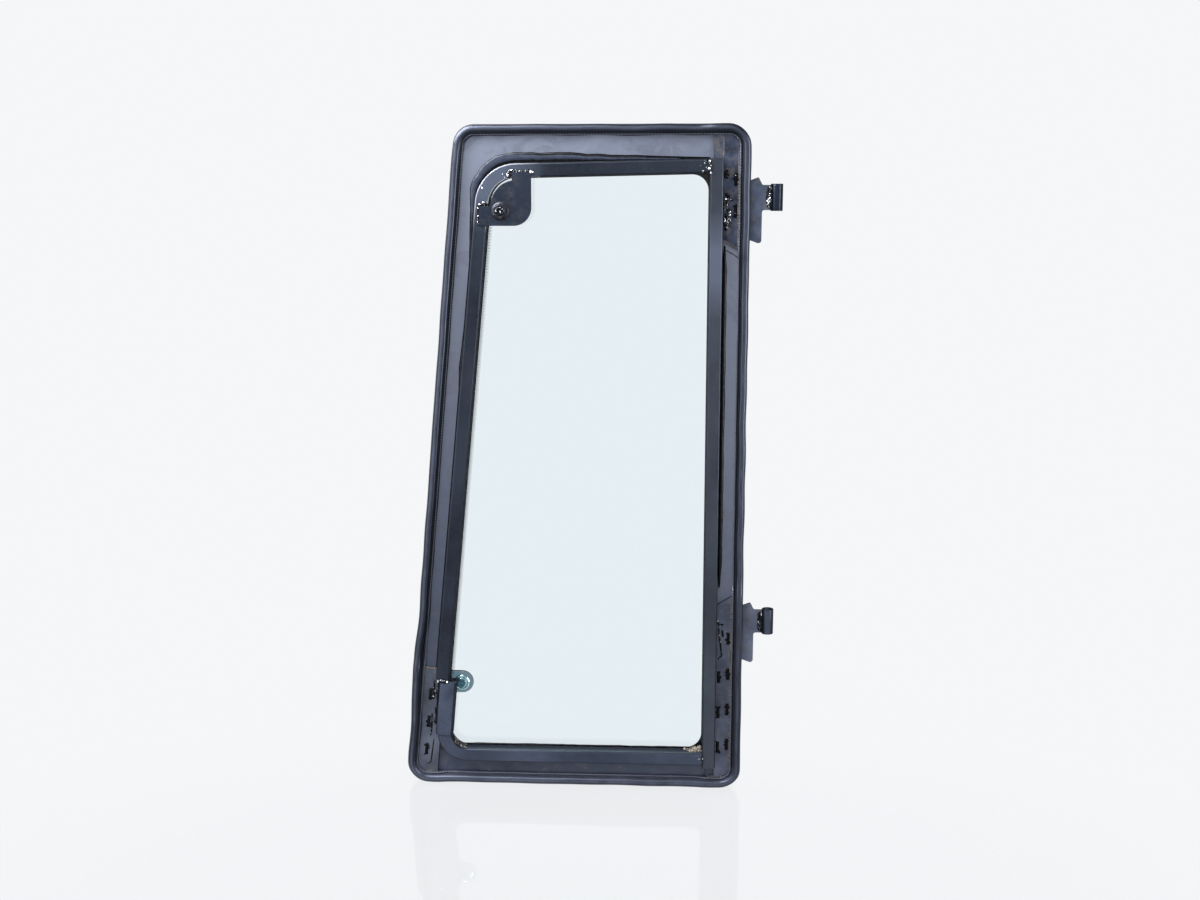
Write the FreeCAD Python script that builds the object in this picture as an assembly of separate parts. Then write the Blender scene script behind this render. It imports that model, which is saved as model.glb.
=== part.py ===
import FreeCAD, Part
import math
import os

V = FreeCAD.Vector

# Opening side window of a machine cab, in millimetres.
# Origin: centre of the lower hinge barrel's lower end. +Z runs up the hinge axis, +X points to the
# hinge side as seen from inside the cab, and +Y points out of the cab.

# Glass pane: upright on the hinge side, leaning on the latch side
GLASS_HEIGHT = 907.0
GLASS_TOP_WIDTH = 382.0
GLASS_BOTTOM_WIDTH = 466.0
GLASS_THICKNESS = 5.0
GLASS_CORNER_RADIUS = 25.0
GLASS_ARRIS = 0.8
HINGE_REACH = 38.0
SILL_DROP = 223.0

# Black printed border on the inner face of the glass
PRINT_THICKNESS = 0.2
PRINT_EDGE_MARGIN = 1.0
PRINT_SHOW = 1.0
PRINT_CORNER_RADIUS = 21.0

# Square tube frame
TUBE_SIZE = 18.0
TUBE_WALL = 1.5
TUBE_CORNER_RADIUS = 2.5
HINGE_INSET = 32.0
LATCH_INSET = 29.6
LATCH_TILT = 0.42
BOTTOM_INSET = 34.5
TOP_INSET = 42.5
TOP_RAIL_RISE = 1.2
TOP_BEND_RADIUS = 46.0
BOTTOM_BEND_RADIUS = 33.0
POST_OVERRUN_TOP = 1.0
POST_OVERRUN_BOTTOM = 4.0

# Latch channel: a sleeve open at the back, over the upturned leg of the bottom tube
CHANNEL_INSET = 35.5
CHANNEL_WALL = 2.0
CHANNEL_LENGTH = 78.0
CHANNEL_OVER_BEND = 6.0
CHANNEL_CORNER_RADIUS = 3.0
LEG_CLEARANCE = 0.1
LEG_SIDE_ROOM = 0.9
RAIL_END_GAP = 0.2

# Sheet steel plates bonded to the glass border
PLATE_THICKNESS = 3.0
PLATE_BOND = 0.8
PLATE_EDGE_MARGIN = 3.0
PLATE_END_ANGLE = 32.0
UPPER_PLATE_BELOW = 54.5
LOWER_PLATE_ABOVE = 22.5
STRIP_WIDTH = 13.0
CORNER_PLATE_TOP = 166.0
CORNER_PLATE_REACH = 40.0

# Slots in the plates, with the adhesive showing through them
SLOT_LENGTH = 17.0
SLOT_WIDTH = 4.5
OUTER_SLOT_INSET = 15.5
INNER_SLOT_INSET = 28.0
LOWER_SLOT_START = 8.5
LOWER_SLOT_PITCH = 51.5
LOWER_OUTER_SLOTS = 4
LOWER_INNER_SLOTS = 3
INNER_SLOT_DROP = 4.5
UPPER_SLOT_START = 40.5
UPPER_SLOT_PITCH = 41.0
UPPER_OUTER_SLOTS = 2
SHORT_SLOT_LENGTH = 11.5
SHORT_SLOT_RISE = 47.0
CORNER_SLOT_INSET = 22.0
CORNER_SLOT_START = 47.0
CORNER_SLOT_PITCH = 41.0
CORNER_SLOTS = 3

# Hinges
BARREL_DIAMETER = 16.0
BARREL_BORE = 10.0
BARREL_LENGTH = 35.0
UPPER_BARREL_DROP = 74.0
TAB_REACH = 19.0
TAB_TIP = 24.0
TAB_BELOW = 43.5
TAB_ABOVE = 8.5
TAB_SLOPE = 20.0
TAB_CORNER_RADIUS = 4.0
NECK_TOP_STEP = 1.5
NECK_BOTTOM_STEP = 1.0
NECK_FILLET = 3.0

# Gusset with its welded flange nut, on the bend of the upper tube
GUSSET_THICKNESS = 3.0
GUSSET_WIDTH = 68.5
GUSSET_HEIGHT = 69.0
GUSSET_LAP = 9.0
GUSSET_TOP_LAP = 6.5
GUSSET_TAB_WIDTH = 25.0
GUSSET_TAB_HEIGHT = 25.0
GUSSET_CORNER_RADIUS = 24.0
GUSSET_GAP = 3.5
NUT_FROM_EDGE = 28.0
NUT_FROM_BOTTOM = 19.0
NUT_FLANGE_DIAMETER = 24.0
NUT_FLANGE_THICKNESS = 2.0
NUT_ACROSS_FLATS = 18.0
NUT_HEIGHT = 7.0
STUD_DIAMETER = 12.0
STUD_PROUD = 1.5
STUD_BEHIND = 3.0

# Adhesive under the tubes, with the squeeze-out beside the bent tube
SQUEEZE_ABOVE_BEND = 13.5
SQUEEZE_AT_BEND = 11.0
SQUEEZE_BESIDE_BEND = 7.0
SQUEEZE_ON_RAIL = 3.6
SQUEEZE_TAPER = 45.0
SQUEEZE_AT_POST = 2.0
SQUEEZE_HEIGHT = 2.6
CHANNEL_BOND_WIDTH = 10.0
BOND_MARGIN = 2.0

# Edge seal: a clip round the glass edge that carries a soft bulb on its inner side
SEAL_WALL = 2.5
SEAL_SPINE = 3.0
SEAL_GRIP = 11.0
SEAL_OUTER_GRIP = 9.0
SEAL_BULB_RADIUS = 5.5
SEAL_BULB_UNDERCUT = 2.0
SEAL_LIP_HEIGHT = 1.2
SEAL_LIP_WIDTH = 2.4
SEAL_RAMP = 14.0
SEAL_SLIT_CLEARANCE = 0.3

# Catch: a tab outside the glass, held through it by a screw with a cup washer
CATCH_GAP = 0.3
CATCH_BELOW_CHANNEL_TOP = 7.0
CATCH_WIDTH = 32.0
CATCH_LENGTH = 40.0
CATCH_THICKNESS = 3.0
GASKET_THICKNESS = 1.0
GASKET_MARGIN = 1.0
CUP_DIAMETER = 23.0
CUP_HEIGHT = 2.4
CUP_LAND = 1.2
SCREW_DIAMETER = 6.0
SCREW_CLEARANCE = 0.3
SCREW_HEAD_DIAMETER = 10.5
SCREW_HEAD_HEIGHT = 3.6
SOCKET_ACROSS_FLATS = 5.0
SOCKET_DEPTH = 2.2
SCREW_PROUD = 1.5
GLASS_HOLE_DIAMETER = 9.0
LOCKNUT_ACROSS_FLATS = 10.0
LOCKNUT_HEIGHT = 5.0

# Levels through the thickness, from the plates out to the glass and in to the tubes
PLATE_FRONT = -PLATE_THICKNESS / 2
PLATE_BACK = PLATE_THICKNESS / 2
PRINT_FACE = PLATE_BACK + PLATE_BOND
GLASS_IN = PRINT_FACE + PRINT_THICKNESS
GLASS_OUT = GLASS_IN + GLASS_THICKNESS
TUBE_BACK = PLATE_FRONT
TUBE_FRONT = TUBE_BACK - TUBE_SIZE
GUSSET_FRONT = TUBE_FRONT - GUSSET_THICKNESS

# Edges of the glass as seen from inside the cab
HINGE_EDGE = -HINGE_REACH
BOTTOM_EDGE = -SILL_DROP
TOP_EDGE = GLASS_HEIGHT - SILL_DROP
BARREL_SPACING = TOP_EDGE - UPPER_BARREL_DROP - BARREL_LENGTH
LEAN = math.atan2(GLASS_BOTTOM_WIDTH - GLASS_TOP_WIDTH, GLASS_HEIGHT)
LATCH_UP = V(math.sin(LEAN), 0, math.cos(LEAN))
LATCH_IN = V(math.cos(LEAN), 0, -math.sin(LEAN))
OUTWARD = V(0, 1, 0)
COUNTER_CLOCKWISE = V(0, -1, 0)


def outward_normal(direction):
    """Normal that points out of an outline walked counter-clockwise as seen from inside the cab."""
    return V(direction.z, 0, -direction.x)


def moved_in(line, distance):
    """A line (point, direction) of such an outline, moved towards the middle of the window."""
    point, direction = line
    return point - outward_normal(direction) * distance, direction


def meeting(line_a, line_b):
    """Point where two lines in the plane of the window cross."""
    (a, da), (b, db) = line_a, line_b
    across = da.x * db.z - da.z * db.x
    reach = ((b.x - a.x) * db.z - (b.z - a.z) * db.x) / across
    return a + da * reach


def inset_polygon(corners, distance):
    """Corners of a convex outline with every side moved in by one distance."""
    lines = []
    for here, there in zip(corners, corners[1:] + corners[:1]):
        lines.append(moved_in((here, (there - here).normalize()), distance))
    return [meeting(lines[i - 1], lines[i]) for i in range(len(lines))]


def corner_round(before, corner, after, radius):
    """Tangent points, arc middle and centre of a rounded corner."""
    to_before = (before - corner).normalize()
    to_after = (after - corner).normalize()
    half = math.acos(max(-1.0, min(1.0, to_before.dot(to_after)))) / 2
    middle = (to_before + to_after).normalize()
    centre = corner + middle * (radius / math.sin(half))
    run = radius / math.tan(half)
    return corner + to_before * run, centre - middle * radius, corner + to_after * run, centre


def rounded_wire(corners, radii):
    """Closed wire through the corners, each rounded by its own radius (0 leaves it sharp)."""
    count = len(corners)
    stops = []
    for i in range(count):
        if radii[i] > 0:
            first, middle, last, _ = corner_round(corners[i - 1], corners[i], corners[(i + 1) % count], radii[i])
            stops.append((first, middle, last))
        else:
            stops.append((corners[i], None, corners[i]))
    edges = []
    for i in range(count):
        first, middle, last = stops[i]
        if middle is not None:
            edges.append(Part.Arc(first, middle, last).toShape())
        following = stops[(i + 1) % count][0]
        if (following - last).Length > 1e-6:
            edges.append(Part.makeLine(last, following))
    return Part.Wire(edges)


def prism(wire, near, far):
    """Solid between two depths over an outline drawn in the plane of the window."""
    solid = Part.Face(wire).extrude(V(0, far - near, 0))
    solid.translate(V(0, near, 0))
    return solid


def rounded_prism(corners, radii, near, far):
    return prism(rounded_wire(corners, radii), near, far)


def sharp_prism(corners, near, far):
    return rounded_prism(corners, [0] * len(corners), near, far)


def upright_box(low_x, high_x, low_z, high_z, near, far):
    return Part.makeBox(high_x - low_x, far - near, high_z - low_z, V(low_x, near, low_z))


def disc(centre, radius, near, far):
    return Part.makeCylinder(radius, far - near, V(centre.x, near, centre.z), OUTWARD)


def hexagon(centre, across_flats, near, far):
    corner_reach = across_flats / math.sqrt(3)
    corners = []
    for step in range(6):
        turn = math.radians(60 * step)
        corners.append(V(centre.x + corner_reach * math.cos(turn), 0, centre.z + corner_reach * math.sin(turn)))
    return sharp_prism(corners, near, far)


def turned(centre, points):
    """Solid of revolution about an axis through the window, from (radius, depth) points."""
    corners = [V(centre.x + radius, depth, centre.z) for radius, depth in points]
    face = Part.Face(Part.makePolygon(corners + corners[:1]))
    return face.revolve(V(centre.x, 0, centre.z), OUTWARD, 360)


def slot_prism(centre, along, length, near, far):
    """Punched slot, its length along the given direction."""
    side, half_run = outward_normal(along) * (SLOT_WIDTH / 2), along * (length / 2)
    corners = [centre - half_run + side, centre + half_run + side, centre + half_run - side, centre - half_run - side]
    return sharp_prism(corners, near, far)


def section_face(point, normal, outline, hole=None):
    """Planar section across a run, from local outline functions of (across, depth)."""
    def place(across, depth):
        return point + normal * across + V(0, depth, 0)
    wires = [outline(place)]
    if hole:
        wires.append(hole(place))
    return Part.makeFace(wires, "Part::FaceMakerBullseye")


def box_section(half_width, near, far, radius):
    """Outline function of a rectangle across a run, rounded at its two corners towards the cab."""
    def outline(place):
        spots = [(-half_width, near), (half_width, near), (half_width, far), (-half_width, far)]
        return rounded_wire([place(across, depth) for across, depth in spots], [radius, radius, 0, 0])
    return outline


def bent_run(start, corner, end, radius, outline, hole=None):
    """Section carried along two straight legs and the bend between them."""
    first, _, last, centre = corner_round(start, corner, end, radius)
    into, out = (corner - start).normalize(), (end - corner).normalize()
    normal_in, normal_out = outward_normal(into), outward_normal(out)
    turn = math.degrees(math.acos(into.dot(out)))
    leg_in = section_face(start, normal_in, outline, hole).extrude(first - start)
    bend = section_face(first, normal_in, outline, hole).revolve(centre, COUNTER_CLOCKWISE, turn)
    leg_out = section_face(last, normal_out, outline, hole).extrude(end - last)
    return leg_in.multiFuse([bend, leg_out]).removeSplitter()


# Outlines in the plane of the window
GLASS_CORNERS = [
    V(HINGE_EDGE - GLASS_BOTTOM_WIDTH, 0, BOTTOM_EDGE),
    V(HINGE_EDGE, 0, BOTTOM_EDGE),
    V(HINGE_EDGE, 0, TOP_EDGE),
    V(HINGE_EDGE - GLASS_TOP_WIDTH, 0, TOP_EDGE),
]
SILL_CORNER = GLASS_CORNERS[0]
BOTTOM_LINE = (GLASS_CORNERS[0], V(1, 0, 0))
HINGE_LINE = (GLASS_CORNERS[1], V(0, 0, 1))
LATCH_LINE = (GLASS_CORNERS[3], LATCH_UP * -1)
POST_OUTER = HINGE_EDGE - HINGE_INSET
POST_INNER = POST_OUTER - TUBE_SIZE
RISE = math.radians(TOP_RAIL_RISE)
TOP_RAIL_LINE = (V(POST_INNER, 0, TOP_EDGE - TOP_INSET), V(-math.cos(RISE), 0, -math.sin(RISE)))


def latch_point(inset, station):
    """Point measured in from the leaning edge of the glass, and up along it from the sill corner."""
    return SILL_CORNER + LATCH_IN * inset + LATCH_UP * station


BOTTOM_AXIS = moved_in(BOTTOM_LINE, BOTTOM_INSET + TUBE_SIZE / 2)
LEG_INSET = CHANNEL_INSET + CHANNEL_WALL + LEG_CLEARANCE
CHANNEL_WIDTH = TUBE_SIZE + LEG_CLEARANCE + LEG_SIDE_ROOM + 2 * CHANNEL_WALL
LEG_AXIS = moved_in(LATCH_LINE, LEG_INSET + TUBE_SIZE / 2)
BOTTOM_CORNER = meeting(LEG_AXIS, BOTTOM_AXIS)
BOTTOM_END = V(POST_INNER, 0, BOTTOM_CORNER.z)
LEG_TANGENT = corner_round(LEG_AXIS[0], BOTTOM_CORNER, BOTTOM_END, BOTTOM_BEND_RADIUS)[0]
CHANNEL_START = (LEG_TANGENT - SILL_CORNER).dot(LATCH_UP) - CHANNEL_OVER_BEND
CHANNEL_TOP = CHANNEL_START + CHANNEL_LENGTH
LEG_START = latch_point(LEG_INSET + TUBE_SIZE / 2, CHANNEL_TOP)
TILT = LEAN + math.radians(LATCH_TILT)
RAIL_DOWN = V(-math.sin(TILT), 0, -math.cos(TILT))
BEND_OUTER_LINE = (latch_point(LATCH_INSET, CHANNEL_TOP + RAIL_END_GAP), RAIL_DOWN)
BENT_TOP_AXIS = moved_in(TOP_RAIL_LINE, TUBE_SIZE / 2)
BENT_SIDE_AXIS = moved_in(BEND_OUTER_LINE, TUBE_SIZE / 2)
BENT_CORNER = meeting(BENT_TOP_AXIS, BENT_SIDE_AXIS)
BENT_START = BENT_TOP_AXIS[0] - BENT_TOP_AXIS[1] * TUBE_SIZE
BENT_END = BENT_SIDE_AXIS[0]
BEND_CENTRE = corner_round(BENT_START, BENT_CORNER, BENT_END, TOP_BEND_RADIUS)[3]
POST_TOP = TOP_EDGE - TOP_INSET + POST_OVERRUN_TOP
POST_BOTTOM = BOTTOM_EDGE + BOTTOM_INSET - POST_OVERRUN_BOTTOM
PLATE_EDGE = HINGE_EDGE - PLATE_EDGE_MARGIN
PLATE_TOP = TOP_EDGE - PLATE_EDGE_MARGIN
PLATE_BOTTOM = BOTTOM_EDGE + PLATE_EDGE_MARGIN
PLATE_CORNER_RADIUS = GLASS_CORNER_RADIUS - PLATE_EDGE_MARGIN
END_RISE = math.tan(math.radians(PLATE_END_ANGLE)) * (PLATE_EDGE - POST_OUTER)
CATCH_INSET = CHANNEL_INSET + CHANNEL_WIDTH + CATCH_GAP + SCREW_HEAD_DIAMETER / 2
CATCH_AXIS = latch_point(CATCH_INSET, CHANNEL_TOP - CATCH_BELOW_CHANNEL_TOP)


def tube_run(start, corner, end, radius):
    """Hollow square tube with one bend."""
    half = TUBE_SIZE / 2
    outside = box_section(half, TUBE_FRONT, TUBE_BACK, TUBE_CORNER_RADIUS)
    inside = box_section(half - TUBE_WALL, TUBE_FRONT + TUBE_WALL, TUBE_BACK - TUBE_WALL, 0)
    return bent_run(start, corner, end, radius, outside, inside)


def straight_tube(start, end, width, front, wall, radius):
    """Hollow straight tube whose back lies on the plates."""
    along = (end - start).normalize()
    normal = outward_normal(along)
    outside = box_section(width / 2, front, TUBE_BACK, radius)
    inside = box_section(width / 2 - wall, front + wall, TUBE_BACK - wall, 0)
    return section_face(start, normal, outside, inside).extrude(end - start)


def beyond_post(near, far):
    """Block that trims the top rail square to the post."""
    return upright_box(POST_INNER, POST_OUTER + TUBE_SIZE, BOTTOM_EDGE, TOP_EDGE, near, far)


def glass_pane():
    pane = rounded_prism(GLASS_CORNERS, [GLASS_CORNER_RADIUS] * 4, GLASS_IN, GLASS_OUT)
    rims = [edge for face in pane.Faces if abs(face.normalAt(0, 0).y) > 0.9 for edge in face.Edges]
    pane = pane.makeChamfer(GLASS_ARRIS, rims)
    return pane.cut(disc(CATCH_AXIS, GLASS_HOLE_DIAMETER / 2, GLASS_IN, GLASS_OUT))


def print_window():
    """Corners of the clear sight area inside the printed border."""
    reach = TUBE_SIZE + PRINT_SHOW
    bottom = moved_in(BOTTOM_LINE, BOTTOM_INSET + reach)
    hinge = moved_in(HINGE_LINE, HINGE_INSET + reach)
    top = moved_in(TOP_RAIL_LINE, reach)
    latch = moved_in(BEND_OUTER_LINE, reach)
    return [meeting(latch, bottom), meeting(bottom, hinge), meeting(hinge, top), meeting(top, latch)]


def border_print():
    rim = inset_polygon(GLASS_CORNERS, PRINT_EDGE_MARGIN)
    sheet = rounded_prism(rim, [GLASS_CORNER_RADIUS - PRINT_EDGE_MARGIN] * 4, PRINT_FACE, GLASS_IN)
    window = rounded_prism(print_window(), [PRINT_CORNER_RADIUS] * 4, PRINT_FACE, GLASS_IN)
    return sheet.cut(window)


def bent_tube():
    tube = tube_run(BENT_START, BENT_CORNER, BENT_END, TOP_BEND_RADIUS)
    return tube.cut(beyond_post(TUBE_FRONT, TUBE_BACK))


def bottom_tube():
    return tube_run(LEG_START, BOTTOM_CORNER, BOTTOM_END, BOTTOM_BEND_RADIUS)


def hinge_post():
    middle = POST_OUTER - TUBE_SIZE / 2
    low, high = V(middle, 0, POST_BOTTOM), V(middle, 0, POST_TOP)
    return straight_tube(low, high, TUBE_SIZE, TUBE_FRONT, TUBE_WALL, TUBE_CORNER_RADIUS)


def latch_channel():
    outer, inner = CHANNEL_INSET, CHANNEL_INSET + CHANNEL_WIDTH
    front = TUBE_FRONT - CHANNEL_WALL
    along = LATCH_UP * CHANNEL_LENGTH
    start = latch_point(0, CHANNEL_START)

    def spot(inset, depth):
        return start + LATCH_IN * inset + V(0, depth, 0)
    corners = [
        spot(outer, TUBE_BACK),
        spot(outer, front),
        spot(inner, front),
        spot(inner, TUBE_BACK),
        spot(inner - CHANNEL_WALL, TUBE_BACK),
        spot(inner - CHANNEL_WALL, TUBE_FRONT),
        spot(outer + CHANNEL_WALL, TUBE_FRONT),
        spot(outer + CHANNEL_WALL, TUBE_BACK),
    ]
    radii = [0, CHANNEL_CORNER_RADIUS, CHANNEL_CORNER_RADIUS, 0, 0, 0, 0, 0]
    return Part.Face(rounded_wire(corners, radii)).extrude(along)


def post_strip():
    return upright_box(POST_OUTER - STRIP_WIDTH, POST_OUTER, PLATE_BOTTOM, PLATE_TOP, PLATE_FRONT, PLATE_BACK)


def upper_plate_corners():
    """Bonded part of the upper hinge plate, up to the top corner of the glass."""
    low = BARREL_SPACING - UPPER_PLATE_BELOW
    return [
        V(POST_OUTER, 0, low + END_RISE),
        V(PLATE_EDGE, 0, low),
        V(PLATE_EDGE, 0, PLATE_TOP),
        V(POST_OUTER, 0, PLATE_TOP),
    ]


def lower_plate_corners():
    """Bonded part of the lower hinge plate, down to the bottom corner of the glass."""
    high = BARREL_LENGTH + LOWER_PLATE_ABOVE
    return [
        V(POST_OUTER, 0, PLATE_BOTTOM),
        V(PLATE_EDGE, 0, PLATE_BOTTOM),
        V(PLATE_EDGE, 0, high),
        V(POST_OUTER, 0, high - END_RISE),
    ]


def hinge_tab(barrel_low):
    """Ear that runs out past the seal to the hinge barrel."""
    barrel_high = barrel_low + BARREL_LENGTH
    root = PLATE_EDGE - SEAL_GRIP
    slope = math.tan(math.radians(TAB_SLOPE))
    low, high = barrel_low - TAB_BELOW, barrel_high + TAB_ABOVE
    corners = [
        V(root, 0, low + slope * (-TAB_REACH - root)),
        V(-TAB_REACH, 0, low),
        V(-TAB_REACH, 0, barrel_low + NECK_BOTTOM_STEP),
        V(0, 0, barrel_low + NECK_BOTTOM_STEP),
        V(0, 0, barrel_high - NECK_TOP_STEP),
        V(-TAB_REACH, 0, barrel_high - NECK_TOP_STEP),
        V(-TAB_TIP, 0, high),
        V(root, 0, high - slope * (-TAB_TIP - root)),
    ]
    radii = [0, TAB_CORNER_RADIUS, NECK_FILLET, 0, 0, NECK_FILLET, NECK_FILLET / 2, 0]
    return rounded_prism(corners, radii, PLATE_FRONT, PLATE_BACK)


def upper_slots():
    """Centre, direction and length of each slot in the upper hinge plate."""
    up = V(0, 0, 1)
    slots = []
    for step in range(UPPER_OUTER_SLOTS):
        spot = V(HINGE_EDGE - OUTER_SLOT_INSET, 0, BARREL_SPACING + UPPER_SLOT_START - step * UPPER_SLOT_PITCH)
        slots.append((spot, up, SLOT_LENGTH))
    short = V(HINGE_EDGE - INNER_SLOT_INSET, 0, BARREL_SPACING + SHORT_SLOT_RISE)
    slots.append((short, up, SHORT_SLOT_LENGTH))
    return slots


def lower_slots():
    """Centre, direction and length of each slot in the lower hinge plate."""
    up = V(0, 0, 1)
    slots = []
    for step in range(LOWER_OUTER_SLOTS):
        height = -LOWER_SLOT_START - step * LOWER_SLOT_PITCH
        slots.append((V(HINGE_EDGE - OUTER_SLOT_INSET, 0, height), up, SLOT_LENGTH))
    for step in range(LOWER_INNER_SLOTS):
        height = -LOWER_SLOT_START - (step + 1) * LOWER_SLOT_PITCH - INNER_SLOT_DROP
        slots.append((V(HINGE_EDGE - INNER_SLOT_INSET, 0, height), up, SLOT_LENGTH))
    return slots


def corner_slots():
    """Centre, direction and length of each slot in the corner plate."""
    slots = []
    for step in range(CORNER_SLOTS):
        spot = latch_point(CORNER_SLOT_INSET, CORNER_SLOT_START + step * CORNER_SLOT_PITCH)
        slots.append((spot, LATCH_UP, SLOT_LENGTH))
    return slots


def slotted(plate, slots):
    for centre, along, length in slots:
        plate = plate.cut(slot_prism(centre, along, length, PLATE_FRONT, PLATE_BACK))
    return plate


def hinge_plate(corners, radii, barrel_low, slots):
    plate = rounded_prism(corners, radii, PLATE_FRONT, PLATE_BACK)
    plate = plate.fuse(hinge_tab(barrel_low)).removeSplitter()
    barrel_room = Part.makeCylinder(BARREL_DIAMETER / 2, BARREL_LENGTH, V(0, 0, barrel_low))
    return slotted(plate.cut(barrel_room), slots)


def upper_hinge_plate():
    radii = [0, 0, PLATE_CORNER_RADIUS, 0]
    return hinge_plate(upper_plate_corners(), radii, BARREL_SPACING, upper_slots())


def lower_hinge_plate():
    radii = [0, PLATE_CORNER_RADIUS, 0, 0]
    return hinge_plate(lower_plate_corners(), radii, 0, lower_slots())


def corner_plate_corners():
    """Plate in the lower corner on the latch side."""
    margin_line = moved_in(LATCH_LINE, PLATE_EDGE_MARGIN)
    inner_line = moved_in(LATCH_LINE, CORNER_PLATE_REACH)
    sill_line = moved_in(BOTTOM_LINE, PLATE_EDGE_MARGIN)
    return [
        latch_point(PLATE_EDGE_MARGIN, CORNER_PLATE_TOP),
        meeting(margin_line, sill_line),
        meeting(inner_line, sill_line),
        latch_point(CORNER_PLATE_REACH, CORNER_PLATE_TOP),
    ]


def corner_plate():
    radii = [0, PLATE_CORNER_RADIUS, 0, 0]
    plate = rounded_prism(corner_plate_corners(), radii, PLATE_FRONT, PLATE_BACK)
    return slotted(plate, corner_slots())


def plate_bond(corners, rounded):
    """Film of adhesive behind a plate, which shows at the bottom of its slots."""
    radii = [PLATE_CORNER_RADIUS - BOND_MARGIN if i == rounded else 0 for i in range(len(corners))]
    return rounded_prism(inset_polygon(corners, BOND_MARGIN), radii, PLATE_BACK, PRINT_FACE)


def strip_bond():
    low, high = POST_OUTER - STRIP_WIDTH + BOND_MARGIN, POST_OUTER - BOND_MARGIN
    return upright_box(low, high, PLATE_BOTTOM + BOND_MARGIN, PLATE_TOP - BOND_MARGIN, PLATE_BACK, PRINT_FACE)


def squeeze_out():
    """Adhesive pressed out beside the bent tube, widest over the bend and thin along the latch rail."""
    first, _, last, centre = corner_round(BENT_START, BENT_CORNER, BENT_END, TOP_BEND_RADIUS)
    half = TUBE_SIZE / 2
    up, side = outward_normal(BENT_TOP_AXIS[1]), outward_normal(BENT_SIDE_AXIS[1])
    diagonal = (up + side).normalize()
    tube_reach = TOP_BEND_RADIUS + half
    over = first + up * (half + SQUEEZE_ABOVE_BEND)
    beside = last + side * (half + SQUEEZE_BESIDE_BEND)
    tapered = last + BENT_SIDE_AXIS[1] * SQUEEZE_TAPER + side * (half + SQUEEZE_ON_RAIL)
    foot = BENT_END + side * (half + SQUEEZE_ON_RAIL)
    start = BENT_START + up * (half + SQUEEZE_AT_POST)
    edges = [
        Part.makeLine(start, over),
        Part.Arc(over, centre + diagonal * (tube_reach + SQUEEZE_AT_BEND), beside).toShape(),
        Part.makeLine(beside, tapered),
        Part.makeLine(tapered, foot),
        Part.makeLine(foot, BENT_END + side * half),
        Part.makeLine(BENT_END + side * half, last + side * half),
        Part.Arc(last + side * half, centre + diagonal * tube_reach, first + up * half).toShape(),
        Part.makeLine(first + up * half, BENT_START + up * half),
        Part.makeLine(BENT_START + up * half, start),
    ]
    return prism(Part.Wire(edges), PRINT_FACE - SQUEEZE_HEIGHT, PRINT_FACE)


def corner_plate_room():
    """Space that the corner plate and its adhesive take between the tubes and the glass."""
    radii = [0, PLATE_CORNER_RADIUS, 0, 0]
    return rounded_prism(corner_plate_corners(), radii, PLATE_FRONT, PRINT_FACE)


def bent_tube_bond():
    section = box_section(TUBE_SIZE / 2, TUBE_BACK, PRINT_FACE, 0)
    bead = bent_run(BENT_START, BENT_CORNER, BENT_END, TOP_BEND_RADIUS, section)
    bead = bead.fuse(squeeze_out()).removeSplitter()
    return bead.cut(beyond_post(TUBE_BACK, PRINT_FACE)).cut(corner_plate_room())


def channel_room():
    """Space between the latch channel and the glass."""
    near_side, far_side = CHANNEL_INSET, CHANNEL_INSET + CHANNEL_WIDTH
    corners = [
        latch_point(near_side, CHANNEL_TOP),
        latch_point(near_side, CHANNEL_START),
        latch_point(far_side, CHANNEL_START),
        latch_point(far_side, CHANNEL_TOP),
    ]
    return sharp_prism(corners, TUBE_BACK, PRINT_FACE)


def bottom_tube_bond():
    section = box_section(TUBE_SIZE / 2, TUBE_BACK, PRINT_FACE, 0)
    bead = bent_run(LEG_START, BOTTOM_CORNER, BOTTOM_END, BOTTOM_BEND_RADIUS, section)
    return bead.cut(corner_plate_room()).cut(channel_room())


def channel_bond():
    near_side, far_side = CORNER_PLATE_REACH, CORNER_PLATE_REACH + CHANNEL_BOND_WIDTH
    corners = [
        latch_point(near_side, CHANNEL_TOP),
        latch_point(near_side, CHANNEL_START),
        latch_point(far_side, CHANNEL_START),
        latch_point(far_side, CHANNEL_TOP),
    ]
    return sharp_prism(corners, TUBE_BACK, PRINT_FACE)


def post_bond():
    return upright_box(POST_INNER, POST_OUTER - STRIP_WIDTH, POST_BOTTOM, POST_TOP, TUBE_BACK, PRINT_FACE)


def hinge_barrel(low):
    outside = Part.makeCylinder(BARREL_DIAMETER / 2, BARREL_LENGTH, V(0, 0, low))
    return outside.cut(Part.makeCylinder(BARREL_BORE / 2, BARREL_LENGTH, V(0, 0, low)))


def gusset_frame():
    """Left, right, bottom and top limits of the gusset, from the tubes that it laps."""
    inner_top = meeting(moved_in(TOP_RAIL_LINE, TUBE_SIZE), (V(BEND_CENTRE.x, 0, 0), V(0, 0, 1)))
    top = inner_top.z + GUSSET_TOP_LAP
    bottom = top - GUSSET_HEIGHT
    inner_side = meeting(moved_in(BEND_OUTER_LINE, TUBE_SIZE), (V(0, 0, bottom), V(1, 0, 0)))
    left = inner_side.x - GUSSET_LAP
    return left, left + GUSSET_WIDTH, bottom, top


def nut_centre():
    left, _, bottom, _ = gusset_frame()
    return V(left + NUT_FROM_EDGE, 0, bottom + NUT_FROM_BOTTOM)


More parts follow.
